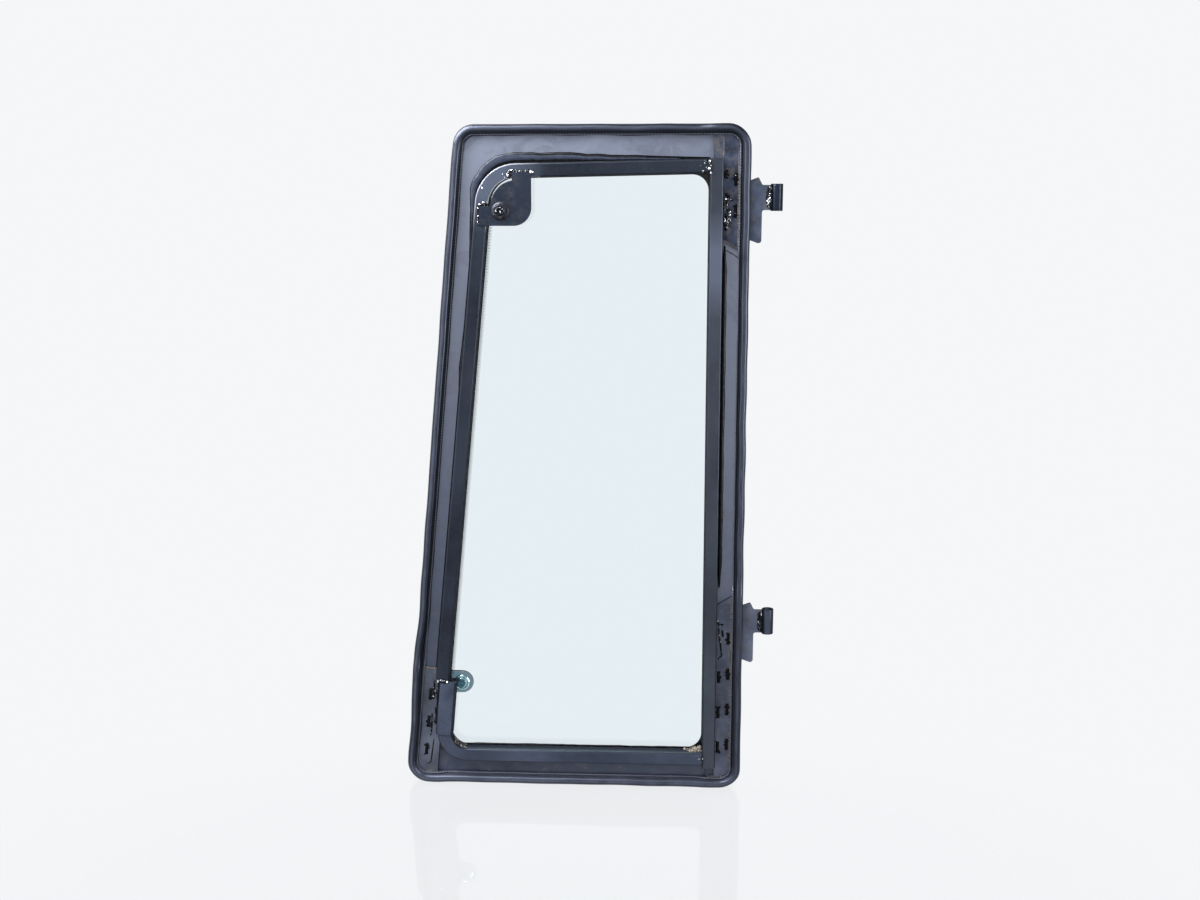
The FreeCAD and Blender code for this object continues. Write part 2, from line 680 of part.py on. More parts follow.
def corner_gusset():
    """Plate across the bend, lapping both legs of the tube and standing clear of its inside curve."""
    left, right, bottom, top = gusset_frame()
    reach = TOP_BEND_RADIUS - TUBE_SIZE / 2 - GUSSET_GAP
    tab_x, tab_z = right - GUSSET_TAB_WIDTH, bottom + GUSSET_TAB_HEIGHT
    on_top = V(tab_x, 0, BEND_CENTRE.z + math.sqrt(reach ** 2 - (tab_x - BEND_CENTRE.x) ** 2))
    on_side = V(BEND_CENTRE.x - math.sqrt(reach ** 2 - (tab_z - BEND_CENTRE.z) ** 2), 0, tab_z)
    towards = ((on_top - BEND_CENTRE).normalize() + (on_side - BEND_CENTRE).normalize()).normalize()
    tip = V(right, 0, bottom)
    first, middle, last, _ = corner_round(V(left, 0, bottom), tip, V(right, 0, top), GUSSET_CORNER_RADIUS)
    edges = [
        Part.makeLine(V(left, 0, bottom), first),
        Part.Arc(first, middle, last).toShape(),
        Part.makeLine(last, V(right, 0, top)),
        Part.makeLine(V(right, 0, top), V(tab_x, 0, top)),
        Part.makeLine(V(tab_x, 0, top), on_top),
        Part.Arc(on_top, BEND_CENTRE + towards * reach, on_side).toShape(),
        Part.makeLine(on_side, V(left, 0, tab_z)),
        Part.makeLine(V(left, 0, tab_z), V(left, 0, bottom)),
    ]
    plate = prism(Part.Wire(edges), GUSSET_FRONT, TUBE_FRONT)
    return plate.cut(disc(nut_centre(), STUD_DIAMETER / 2, GUSSET_FRONT, TUBE_FRONT))


def gusset_nut():
    centre = nut_centre()
    flange_front = GUSSET_FRONT - NUT_FLANGE_THICKNESS
    nut_front = GUSSET_FRONT - NUT_HEIGHT
    flange = disc(centre, NUT_FLANGE_DIAMETER / 2, flange_front, GUSSET_FRONT)
    body = hexagon(centre, NUT_ACROSS_FLATS, nut_front, flange_front)
    nut = flange.fuse(body).removeSplitter()
    return nut.cut(disc(centre, STUD_DIAMETER / 2, nut_front, GUSSET_FRONT))


def gusset_stud():
    return disc(nut_centre(), STUD_DIAMETER / 2, GUSSET_FRONT - NUT_HEIGHT - STUD_PROUD, TUBE_FRONT + STUD_BEHIND)


def catch_outline(margin):
    """Outline of the catch tab: a round end about the screw and a squared end towards the edge."""
    half = CATCH_WIDTH / 2 - margin
    far = CATCH_AXIS - V(CATCH_LENGTH - margin, 0, 0)
    rise = V(0, 0, half)
    edges = [
        Part.Arc(CATCH_AXIS - rise, CATCH_AXIS + V(half, 0, 0), CATCH_AXIS + rise).toShape(),
        Part.makeLine(CATCH_AXIS + rise, far + rise),
        Part.makeLine(far + rise, far - rise),
        Part.makeLine(far - rise, CATCH_AXIS - rise),
    ]
    return Part.Wire(edges)


SCREW_ROOM = SCREW_DIAMETER / 2 + SCREW_CLEARANCE
CATCH_BACK = GLASS_OUT + GASKET_THICKNESS
CATCH_FRONT = CATCH_BACK + CATCH_THICKNESS


def catch_gasket():
    pad = prism(catch_outline(GASKET_MARGIN), GLASS_OUT, CATCH_BACK)
    return pad.cut(disc(CATCH_AXIS, GLASS_HOLE_DIAMETER / 2, GLASS_OUT, CATCH_BACK))


def catch_tab():
    tab = prism(catch_outline(0), CATCH_BACK, CATCH_FRONT)
    return tab.cut(disc(CATCH_AXIS, SCREW_ROOM, CATCH_BACK, CATCH_FRONT))


def catch_cup():
    """Dished washer on the inner face of the glass, with a flat seat under the screw head."""
    top = GLASS_IN - CUP_HEIGHT
    return turned(CATCH_AXIS, [
        (SCREW_ROOM, GLASS_IN),
        (CUP_DIAMETER / 2, GLASS_IN),
        (SCREW_HEAD_DIAMETER / 2 + CUP_LAND, top),
        (SCREW_ROOM, top),
    ])


def catch_screw():
    seat = GLASS_IN - CUP_HEIGHT
    crown = seat - SCREW_HEAD_HEIGHT
    tip = CATCH_FRONT + LOCKNUT_HEIGHT + SCREW_PROUD
    head = disc(CATCH_AXIS, SCREW_HEAD_DIAMETER / 2, crown, seat)
    shank = disc(CATCH_AXIS, SCREW_DIAMETER / 2, seat, tip)
    socket = hexagon(CATCH_AXIS, SOCKET_ACROSS_FLATS, crown, crown + SOCKET_DEPTH)
    return head.fuse(shank).removeSplitter().cut(socket)


def catch_nut():
    nut = hexagon(CATCH_AXIS, LOCKNUT_ACROSS_FLATS, CATCH_FRONT, CATCH_FRONT + LOCKNUT_HEIGHT)
    return nut.cut(disc(CATCH_AXIS, SCREW_DIAMETER / 2, CATCH_FRONT, CATCH_FRONT + LOCKNUT_HEIGHT))


SEAL_LIFT = PLATE_THICKNESS + PLATE_BOND
BULB_ACROSS = SEAL_SPINE - SEAL_BULB_RADIUS


def seal_outline(lift):
    """Outline function of the seal section: clip opened by lift, spine, bulb and lip."""
    leg_back = PRINT_FACE - lift
    leg_front = leg_back - SEAL_WALL
    bulb_depth = leg_front - SEAL_BULB_RADIUS
    lip_front = leg_front - SEAL_LIP_HEIGHT
    bulb_foot = BULB_ACROSS - SEAL_BULB_RADIUS + SEAL_BULB_UNDERCUT
    lip_slope = SEAL_LIP_WIDTH / 4

    def outline(place):
        around = [
            (BULB_ACROSS - SEAL_BULB_RADIUS, bulb_depth),
            (bulb_foot, leg_front),
            (SEAL_LIP_WIDTH - SEAL_GRIP, leg_front),
            (SEAL_LIP_WIDTH - SEAL_GRIP - lip_slope, lip_front),
            (lip_slope - SEAL_GRIP, lip_front),
            (-SEAL_GRIP, leg_front),
            (-SEAL_GRIP, leg_back),
            (0, leg_back),
            (0, GLASS_OUT),
            (-SEAL_OUTER_GRIP, GLASS_OUT),
            (-SEAL_OUTER_GRIP, GLASS_OUT + SEAL_WALL),
            (SEAL_SPINE, GLASS_OUT + SEAL_WALL),
            (SEAL_SPINE, bulb_depth),
        ]
        stops = [place(across, depth) for across, depth in around]
        edges = [Part.makeLine(here, there) for here, there in zip(stops, stops[1:])]
        over_bulb = place(BULB_ACROSS, bulb_depth - SEAL_BULB_RADIUS)
        edges.append(Part.Arc(stops[-1], over_bulb, stops[0]).toShape())
        return Part.Wire(edges)
    return outline


def seal_ramp(start, end, lift_start, lift_end):
    """Stretch of seal that climbs onto a plate, or comes down from it."""
    normal = outward_normal((end - start).normalize())
    wires = []
    for point, lift in ((start, lift_start), (end, lift_end)):
        def place(across, depth, base=point):
            return base + normal * across + V(0, depth, 0)
        wires.append(seal_outline(lift)(place))
    return Part.makeLoft(wires, True, True)


def seal_side(start, end, stretches):
    """One side of the seal; stretches are (length from the start, lift there) in order."""
    along = (end - start).normalize()
    normal = outward_normal(along)
    pieces = []
    for (from_run, from_lift), (to_run, to_lift) in zip(stretches, stretches[1:]):
        here, there = start + along * from_run, start + along * to_run
        if from_lift == to_lift:
            face = section_face(here, normal, seal_outline(from_lift))
            pieces.append(face.extrude(there - here))
        else:
            pieces.append(seal_ramp(here, there, from_lift, to_lift))
    return pieces


def seal_corner(index, lift):
    before, corner = GLASS_CORNERS[index - 1], GLASS_CORNERS[index]
    after = GLASS_CORNERS[(index + 1) % 4]
    first, _, _, centre = corner_round(before, corner, after, GLASS_CORNER_RADIUS)
    into, out = (corner - before).normalize(), (after - corner).normalize()
    face = section_face(first, outward_normal(into), seal_outline(lift))
    return face.revolve(centre, COUNTER_CLOCKWISE, math.degrees(math.acos(into.dot(out))))


def edge_seal():
    """Closed ring of seal that rides up over the strip and the plates."""
    ends = []
    for index in range(4):
        after = GLASS_CORNERS[(index + 1) % 4]
        first, _, last, _ = corner_round(GLASS_CORNERS[index - 1], GLASS_CORNERS[index], after, GLASS_CORNER_RADIUS)
        ends.append((first, last))
    up, flat = SEAL_LIFT, 0
    strip_edge = POST_OUTER - STRIP_WIDTH

    bottom_start, bottom_stop = ends[0][1], ends[1][0]
    plate_side = moved_in(LATCH_LINE, CORNER_PLATE_REACH)
    plate_end = meeting(plate_side, moved_in(BOTTOM_LINE, SEAL_GRIP)).x - bottom_start.x
    strip_start = strip_edge - bottom_start.x
    bottom = [(0, up), (plate_end, up), (plate_end + SEAL_RAMP, flat), (strip_start - SEAL_RAMP, flat),
              (strip_start, up), (bottom_stop.x - bottom_start.x, up)]

    hinge_start, hinge_stop = ends[1][1], ends[2][0]
    lower_end = lower_plate_corners()[2].z - hinge_start.z
    upper_start = upper_plate_corners()[1].z - hinge_start.z
    hinge = [(0, up), (lower_end, up), (lower_end + SEAL_RAMP, flat), (upper_start - SEAL_RAMP, flat),
             (upper_start, up), (hinge_stop.z - hinge_start.z, up)]

    top_start, top_stop = ends[2][1], ends[3][0]
    strip_stop = top_start.x - strip_edge
    top = [(0, up), (strip_stop, up), (strip_stop + SEAL_RAMP, flat), (top_start.x - top_stop.x, flat)]

    latch_start, latch_stop = ends[3][1], ends[0][0]
    latch_length = (latch_stop - latch_start).Length
    climb = (latch_start - SILL_CORNER).dot(LATCH_UP) - CORNER_PLATE_TOP
    latch = [(0, flat), (climb - SEAL_RAMP, flat), (climb, up), (latch_length, up)]

    pieces = seal_side(bottom_start, bottom_stop, bottom)
    pieces += seal_side(hinge_start, hinge_stop, hinge)
    pieces += seal_side(top_start, top_stop, top)
    pieces += seal_side(latch_start, latch_stop, latch)
    pieces += [seal_corner(0, up), seal_corner(1, up), seal_corner(2, up), seal_corner(3, flat)]
    ring = pieces[0].multiFuse(pieces[1:]).removeSplitter()
    for barrel_low in (0, BARREL_SPACING):
        low = barrel_low - TAB_BELOW - SEAL_SLIT_CLEARANCE
        high = barrel_low + BARREL_LENGTH + TAB_ABOVE + SEAL_SLIT_CLEARANCE
        back = PLATE_BACK + SEAL_SLIT_CLEARANCE
        ring = ring.cut(upright_box(PLATE_EDGE, 0, low, high, PLATE_FRONT, back))
    return ring


def main():
    os.makedirs("parts", exist_ok=True)
    nodes = {
        "glass_pane": glass_pane(),
        "border_print": border_print(),
        "edge_seal": edge_seal(),
        "bent_tube": bent_tube(),
        "bottom_tube": bottom_tube(),
        "hinge_post": hinge_post(),
        "latch_channel": latch_channel(),
        "post_strip": post_strip(),
        "upper_hinge_plate": upper_hinge_plate(),
        "lower_hinge_plate": lower_hinge_plate(),
        "corner_plate": corner_plate(),
        "upper_plate_bond": plate_bond(upper_plate_corners(), 2),
        "lower_plate_bond": plate_bond(lower_plate_corners(), 1),
        "corner_plate_bond": plate_bond(corner_plate_corners(), 1),
        "strip_bond": strip_bond(),
        "bent_tube_bond": bent_tube_bond(),
        "bottom_tube_bond": bottom_tube_bond(),
        "channel_bond": channel_bond(),
        "post_bond": post_bond(),
        "upper_hinge_barrel": hinge_barrel(BARREL_SPACING),
        "lower_hinge_barrel": hinge_barrel(0),
        "corner_gusset": corner_gusset(),
        "gusset_nut": gusset_nut(),
        "gusset_stud": gusset_stud(),
        "catch_gasket": catch_gasket(),
        "catch_tab": catch_tab(),
        "catch_cup": catch_cup(),
        "catch_screw": catch_screw(),
        "catch_nut": catch_nut(),
    }
    for name, shape in nodes.items():
        box = shape.BoundBox
        print(f"{name:20s} valid {shape.isValid()} solids {len(shape.Solids)} faces {len(shape.Faces)} "
              f"volume {shape.Volume:.0f} box {box.XMin:.1f} {box.YMin:.1f} {box.ZMin:.1f} "
              f"to {box.XMax:.1f} {box.YMax:.1f} {box.ZMax:.1f}")
        shape.exportStep(f"parts/{name}.step")


main()
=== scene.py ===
import math
import random

import bmesh
import bpy
from mathutils import Matrix, Vector


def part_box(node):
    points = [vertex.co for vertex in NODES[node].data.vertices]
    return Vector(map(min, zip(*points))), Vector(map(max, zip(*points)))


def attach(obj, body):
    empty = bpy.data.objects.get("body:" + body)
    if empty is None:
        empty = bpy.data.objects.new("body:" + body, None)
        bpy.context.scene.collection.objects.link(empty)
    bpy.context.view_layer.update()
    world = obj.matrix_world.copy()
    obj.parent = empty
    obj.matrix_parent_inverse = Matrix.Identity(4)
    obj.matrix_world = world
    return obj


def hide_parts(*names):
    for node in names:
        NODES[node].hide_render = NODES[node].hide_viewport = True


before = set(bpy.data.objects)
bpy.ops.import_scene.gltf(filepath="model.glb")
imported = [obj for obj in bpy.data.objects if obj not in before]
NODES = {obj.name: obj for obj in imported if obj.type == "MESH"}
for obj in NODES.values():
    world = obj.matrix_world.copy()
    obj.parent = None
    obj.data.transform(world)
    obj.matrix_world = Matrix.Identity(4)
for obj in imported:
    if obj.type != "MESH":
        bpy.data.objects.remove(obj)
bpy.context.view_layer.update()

bl_info = {
    "name": "Cab side window",
    "version": (1, 1, 0),
    "blender": (4, 5, 0),
    "location": "View3D > Sidebar > Window",
    "description": "Dresses the bonded, hinged side window of a machine cab",
    "category": "Object",
}

MM = 0.001
TO_CAB = Vector((0, -1, 0))
UP = Vector((0, 0, 1))
RIGHT = Vector((1, 0, 0))


def linear(code):
    """Linear RGBA of an sRGB hex colour."""
    channels = [int(code[i:i + 2], 16) / 255 for i in (1, 3, 5)]
    return [c / 12.92 if c <= 0.04045 else ((c + 0.055) / 1.055) ** 2.4 for c in channels] + [1.0]


def at(x, y, z):
    """Point of the window's frame, given in millimetres."""
    return Vector((x, y, z)) * MM


def box_of(node):
    """Lowest and highest corner of a CAD node."""
    low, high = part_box(node)
    return Vector(low), Vector(high)


def outward(way):
    """Way out of an outline that is walked counter-clockwise as seen from the cab."""
    return Vector((way.z, 0, -way.x))


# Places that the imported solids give, in metres; a face is a level through the thickness
POST_LOW, POST_HIGH = box_of("hinge_post")
NUT_LOW, NUT_HIGH = box_of("gusset_nut")
STUD_LOW, STUD_HIGH = box_of("gusset_stud")
CUP_LOW, CUP_HIGH = box_of("catch_cup")
CUP_CENTRE, CUP_RIM = (CUP_LOW + CUP_HIGH) / 2, (CUP_HIGH.x - CUP_LOW.x) / 2
SILL = box_of("edge_seal")[0].z
TUBE_FACE = POST_LOW.y
PLATE_FACE = box_of("post_strip")[0].y
PRINT_FACE = box_of("border_print")[0].y
GLASS_FACE = box_of("glass_pane")[0].y

# Outline of the glass, and the lines of the frame on its leaning latch side
GLASS_CORNERS = [at(-504, 0, -223), at(-38, 0, -223), at(-38, 0, 684), at(-420, 0, 684)]
CORNER_RADIUS = 25 * MM
LATCH_UP = (GLASS_CORNERS[3] - GLASS_CORNERS[0]).normalized()
LATCH_IN = -outward(-LATCH_UP)
CHANNEL_FOOT = 78.2 * MM
RAIL_TILT = math.radians(1.2)
RAIL_LEFT = Vector((-math.cos(RAIL_TILT), 0, -math.sin(RAIL_TILT)))
BEND_CENTRE = at(-339.7, 0, 581.2)
BEND_AXIS_RADIUS = 46 * MM
TUBE_HALF = 9 * MM
LATCH_RAIL_END = at(-451.1, 0, -70.9)
LATCH_RAIL_DOWN = (LATCH_RAIL_END - (BEND_CENTRE + at(-45.77, 0, 4.58))).normalized()

# Height of the steel under the seal, and the ramp on which the seal climbs onto it
SEAL_LIFT = 3.8 * MM
SEAL_RAMP = 14 * MM

# Section of the seal in millimetres, across the glass edge and through its thickness: the round bulb, then on
# from its inner side over the ribbed lip and round the clip. The mark says what moves the point.
CLIP, LIP, BULB = 0, 1, 2
BULB_ACROSS, BULB_DEPTH, BULB_RADIUS = -2.51, -5.7, 5.5
SEAL_SECTION = (
    (-7.0, -1.6, BULB), (-6.2, -0.5, LIP), (-6.8, -0.2, LIP), (-8.8, -0.2, LIP), (-9.2, -0.9, LIP),
    (-10.5, -0.9, LIP), (-11.0, 0.0, LIP), (-11.0, 2.3, LIP), (0.0, 2.3, LIP), (0.0, 7.5, CLIP), (-9.0, 7.5, CLIP),
    (-9.0, 9.2, CLIP), (-8.2, 10.0, CLIP), (2.2, 10.0, CLIP), (2.99, 9.2, CLIP), (2.99, 2.0, CLIP))

# Roughness of paint and rubber on their flanks, so that these hold no pale line of the ground
FLANK_ROUGHNESS = 0.9


def latch_point(inset, station, depth=0.0):
    """Point measured in from the leaning glass edge and up along it, in metres."""
    point = GLASS_CORNERS[0] + LATCH_IN * inset + LATCH_UP * station
    return Vector((point.x, depth, point.z))


COLOUR = {"subtype": "COLOR", "size": 4, "min": 0.0, "max": 1.0}


class WindowFinish(bpy.types.PropertyGroup):
    """Colours of the finishes."""
    paint_deep: bpy.props.FloatVectorProperty(
        name="Paint, flanks", description="Black paint on the sides of the steel",
        default=linear("#0d1017"), **COLOUR)
    # Painted light: the lighter colour that the faces towards the cab take over the black paint.
    paint_lit_face: bpy.props.FloatVectorProperty(
        name="Paint, faces", description="Hazed black paint on the faces towards the cab",
        default=linear("#2f353f"), **COLOUR)
    # Painted light: the lighter face colour of the strip under the post.
    plate_lit_face: bpy.props.FloatVectorProperty(
        name="Plates", description="Hazed paint of the strip under the post",
        default=linear("#656c7f"), **COLOUR)
    cool_gloss: bpy.props.FloatVectorProperty(
        name="Cool gloss", description="Cool tint of the gloss on black paint and rubber",
        default=linear("#d3dfff"), **COLOUR)
    # Painted highlight, pale, round a given point on the bend, the post and the upper hinge plate.
    highlit: bpy.props.FloatVectorProperty(
        name="Rubbed paint", description="Paint rubbed pale on the bend, the post and the upper hinge plate",
        default=linear("#727b90"), **COLOUR)
    # Grey-green dust on faces that look up, lightened towards the front as painted light; also the colour of the
    # gasket's painted glow.
    film_and_light: bpy.props.FloatVectorProperty(
        name="Dust film", description="Grey-green film on the faces that look up",
        default=linear("#66777f"), **COLOUR)
    dust: bpy.props.FloatVectorProperty(
        name="Dust", description="Dry brown dust on the plates and in the corners",
        default=linear("#7d736b"), **COLOUR)
    # The border colours from here to the sill are painted reflection: lighter towards the top.
    enamel_lit_top: bpy.props.FloatVectorProperty(
        name="Border, top edge", description="Enamel of the border under the top of the seal",
        default=linear("#7c8396"), **COLOUR)
    enamel_lit_high: bpy.props.FloatVectorProperty(
        name="Border, high", description="Hazed enamel of the border near the top",
        default=linear("#8f96a9"), **COLOUR)
    enamel_lit_middle: bpy.props.FloatVectorProperty(
        name="Border, middle", description="Enamel of the border halfway",
        default=linear("#666f85"), **COLOUR)
    # Darkest border colour, near the sill; it is also the painted shade beside the latch rail.
    enamel_low: bpy.props.FloatVectorProperty(
        name="Border, sill", description="Clean enamel of the border near the sill",
        default=linear("#323b50"), **COLOUR)
    enamel_smudge: bpy.props.FloatVectorProperty(
        name="Border smudge", description="Brown-grey smudges on the border",
        default=linear("#5b5a60"), **COLOUR)
    rubber: bpy.props.FloatVectorProperty(
        name="Seal", description="Rubber of the edge seal",
        default=linear("#1d2028"), **COLOUR)
    # Grey of the painted highlight on the seal's crests and of the dust along the sill.
    rubber_highlight_and_dust: bpy.props.FloatVectorProperty(
        name="Seal bloom", description="Grey bloom on the rubber",
        default=linear("#747a8d"), **COLOUR)
    adhesive: bpy.props.FloatVectorProperty(
        name="Adhesive", description="Black polyurethane adhesive",
        default=linear("#07090d"), **COLOUR)
    # Grey painted reflection on the flat of the squeezed-out adhesive.
    adhesive_lustre: bpy.props.FloatVectorProperty(
        name="Adhesive skin", description="Dull skin on the flat of the squeezed-out adhesive",
        default=linear("#5f677b"), **COLOUR)
    # Bright crests of weld metal, and the painted highlight on rounded paint edges.
    bare_steel_and_highlight: bpy.props.FloatVectorProperty(
        name="Bare steel", description="Bright crests of the weld beads",
        default=linear("#d9dce2"), **COLOUR)
    glass: bpy.props.FloatVectorProperty(
        name="Glass", description="Tint of the toughened glass",
        default=linear("#eef7fa"), **COLOUR)
    zinc: bpy.props.FloatVectorProperty(
        name="Zinc", description="Blue passivated zinc of the cup washer",
        default=linear("#c6e6ed"), **COLOUR)
    ground: bpy.props.FloatVectorProperty(
        name="Ground", description="Pale floor and background",
        default=linear("#f5f6f8"), **COLOUR)


class WindowSizes(bpy.types.PropertyGroup):
    """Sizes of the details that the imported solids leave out."""
    bead_width: bpy.props.FloatProperty(
        name="Weld bead width", description="Width of a fillet weld bead", unit="LENGTH", default=5.0 * MM)
    ripple_pitch: bpy.props.FloatProperty(
        name="Weld ripple", description="Distance between two ripples of a weld bead", unit="LENGTH",
        default=2.6 * MM)
    rib_pitch: bpy.props.FloatProperty(
        name="Lip rib pitch", description="Distance between the ribs on the seal's lip", unit="LENGTH",
        default=4.0 * MM)
    seal_step: bpy.props.FloatProperty(
        name="Seal step", description="Distance between two sections of the seal", unit="LENGTH",
        default=8.0 * MM)
    seal_wander: bpy.props.FloatProperty(
        name="Seal wander", description="How far the hand-fitted bulb leans in from its line", unit="LENGTH",
        default=1.5 * MM)
    edge_break: bpy.props.FloatProperty(
        name="Edge break", description="Rounding of the cut edges of the steel", unit="LENGTH",
        default=0.5 * MM)
    thread_pitch: bpy.props.FloatProperty(
        name="Thread pitch", description="Pitch of the stud's thread", unit="LENGTH", default=1.75 * MM)
    dot_pitch: bpy.props.FloatProperty(
        name="Border dot pitch", description="Distance between the dots that end the printed border",
        unit="LENGTH", default=2.0 * MM)


def finish():
    """Colours that are set in the sidebar."""
    return bpy.context.scene.cab_window_finish


def sizes():
    """Sizes that are set in the sidebar."""
    return bpy.context.scene.cab_window_sizes


def wire(tree, node, inputs):
    """Sets a node's inputs: each is a value, a node (its first output) or a pair of a node and an output."""
    for name, value in inputs.items():
        source = (value, 0) if isinstance(value, bpy.types.Node) else value
        if isinstance(source, tuple) and isinstance(source[0], bpy.types.Node):
            tree.links.new(source[0].outputs[source[1]], node.inputs[name])
        else:
            node.inputs[name].default_value = value


def add_node(tree, kind, inputs=None, **settings):
    """Adds one shader node with its settings and its inputs."""
    node = tree.nodes.new("ShaderNode" + kind)
    for name, value in settings.items():
        setattr(node, name, value)
    wire(tree, node, inputs or {})
    return node


def new_material(name):
    """Material with one Principled shader, and the Object coordinates that its patterns read."""
    material = bpy.data.materials.new(name)
    material.use_nodes = True
    tree = material.node_tree
    return material, tree, tree.nodes["Principled BSDF"], add_node(tree, "TexCoord")


def per_metre(size_mm):
    """Noise scale whose patches are about this many millimetres across."""
    return 1.0 / (size_mm * MM)


def within(tree, *limits):
    """Share of a surface inside all limits: each a source, its values for none and for all, and the most."""
    share = None
    for source, none, full, most in limits:
        edge = add_node(tree, "MapRange", {"Value": source, "From Min": none, "From Max": full, "To Max": most})
        share = add_node(tree, "Math", {0: share, 1: edge}, operation="MULTIPLY") if share else edge
    return share


def laid_over(tree, under, over, share, held=1.0):
    """Lays one colour over another by a share, such as dust, and by how far the surface holds it, and returns
    the output that carries the mixed colour."""
    both = add_node(tree, "Math", {0: share, 1: held}, operation="MULTIPLY")
    return add_node(tree, "Mix", {0: both, 6: under, 7: over}, data_type="RGBA"), 2


def cab_facing(tree, place, none=-0.72, full=-0.985):
    """Share of a surface that faces the cab: 1 on the faces, 0 on the flanks."""
    way = add_node(tree, "SeparateXYZ", {"Vector": (place, "Normal")})
    return within(tree, ((way, "Y"), none, full, 1.0))


def dull_flanks(tree, place, roughness):
    """Roughness as given on what looks towards the cab, and dull on the flanks."""
    return add_node(tree, "Mix", {
        0: cab_facing(tree, place, -0.1, -0.35), 2: FLANK_ROUGHNESS, 3: roughness}, data_type="FLOAT")


def paint_material(name, face, dust=0.0, gloss=0.3, patch_mm=110, shine=0.17, least_lit=0.42, highlight_at=None,
                   edge_highlight=0.0):
    """Black paint sprayed over welded steel: half gloss on the faces and dull on the flanks. Its colour carries
    painted light: a mottled blue-grey on the faces towards the cab, and black on the flanks as painted shade;
    grey-green dust on what faces up, with painted light towards the front; dry dust where it settled; and where
    asked, a pale painted highlight round a point and on the rounded edges near it."""
    material, tree, shader, place = new_material(name)
    colours, spot = finish(), (place, "Object")
    facing = cab_facing(tree, place)
    way = add_node(tree, "SeparateXYZ", {"Vector": (place, "Normal")})
    where = add_node(tree, "SeparateXYZ", {"Vector": spot})
    # Painted light: the faces towards the cab take the lighter face colour, mottled by noise, and the flanks stay
    # black as painted shade.
    lit_tone = add_node(tree, "TexNoise", {
        "Vector": spot, "Scale": per_metre(patch_mm), "Detail": 6.0, "Roughness": 0.62})
    lit_share = add_node(tree, "MapRange", {"Value": lit_tone, "From Min": 0.36, "From Max": 0.64, "To Min": least_lit})
    colour = laid_over(tree, colours.paint_deep, face, lit_share, facing)
    # Grey-green dust on faces that look up, lighter towards the front and dark at the back by the glass: dust with
    # painted light and shade.
    to_front = add_node(tree, "MapRange", {
        "Value": (where, "Y"), "From Min": -10 * MM, "From Max": -17.5 * MM, "To Min": 0.03, "To Max": 0.45})
    colour = laid_over(tree, colour, colours.film_and_light, within(tree, ((way, "Z"), 0.8, 0.97, 1.0)), to_front)
    fleck = add_node(tree, "TexNoise", {"Vector": spot, "Scale": per_metre(2.6), "Detail": 3.0, "Roughness": 0.7})
    colour = laid_over(tree, colour, colours.dust, within(tree, (fleck, 0.62, 0.76, 0.25)), facing)
    if highlight_at is not None:
        # Painted highlight: a pale patch round the given point, and pale rounded edges near it.
        reach = 75 * MM
        patch = add_node(tree, "Mapping", {
            "Vector": spot, "Location": highlight_at, "Scale": (reach, reach, reach)}, vector_type="TEXTURE")
        fade = add_node(tree, "TexGradient", {"Vector": patch}, gradient_type="SPHERICAL"), "Fac"
        colour = laid_over(tree, colour, colours.highlit, within(tree, (fade, 0.05, 0.7, 0.58)), facing)
        rounding = within(tree, ((way, "Y"), -0.3, -0.5, 1.0))
        edge = add_node(tree, "Math", {0: rounding, 1: facing}, operation="SUBTRACT", use_clamp=True)
        colour = laid_over(tree, colour, colours.bare_steel_and_highlight, edge, within(tree, (fade, 0.1, 0.6, edge_highlight)))
    if dust:
        grit = add_node(tree, "TexNoise", {
            "Vector": spot, "Scale": per_metre(14), "Detail": 8.0, "Roughness": 0.72})
        colour = laid_over(tree, colour, colours.dust, within(tree, (grit, 0.5, 0.68, dust)), facing)
    sheen = add_node(tree, "MapRange", {
        "Value": lit_tone, "From Min": 0.3, "From Max": 0.7, "To Min": gloss - 0.05, "To Max": gloss + 0.1})
    peel = add_node(tree, "TexNoise", {"Vector": spot, "Scale": per_metre(2.4), "Detail": 2.0})
    wire(tree, shader, {
        "Base Color": colour, "Roughness": dull_flanks(tree, place, sheen),
        "Normal": add_node(tree, "Bump", {"Strength": 0.1, "Distance": 0.4 * MM, "Height": peel}),
        "Specular IOR Level": shine, "Specular Tint": colours.cool_gloss})
    return material


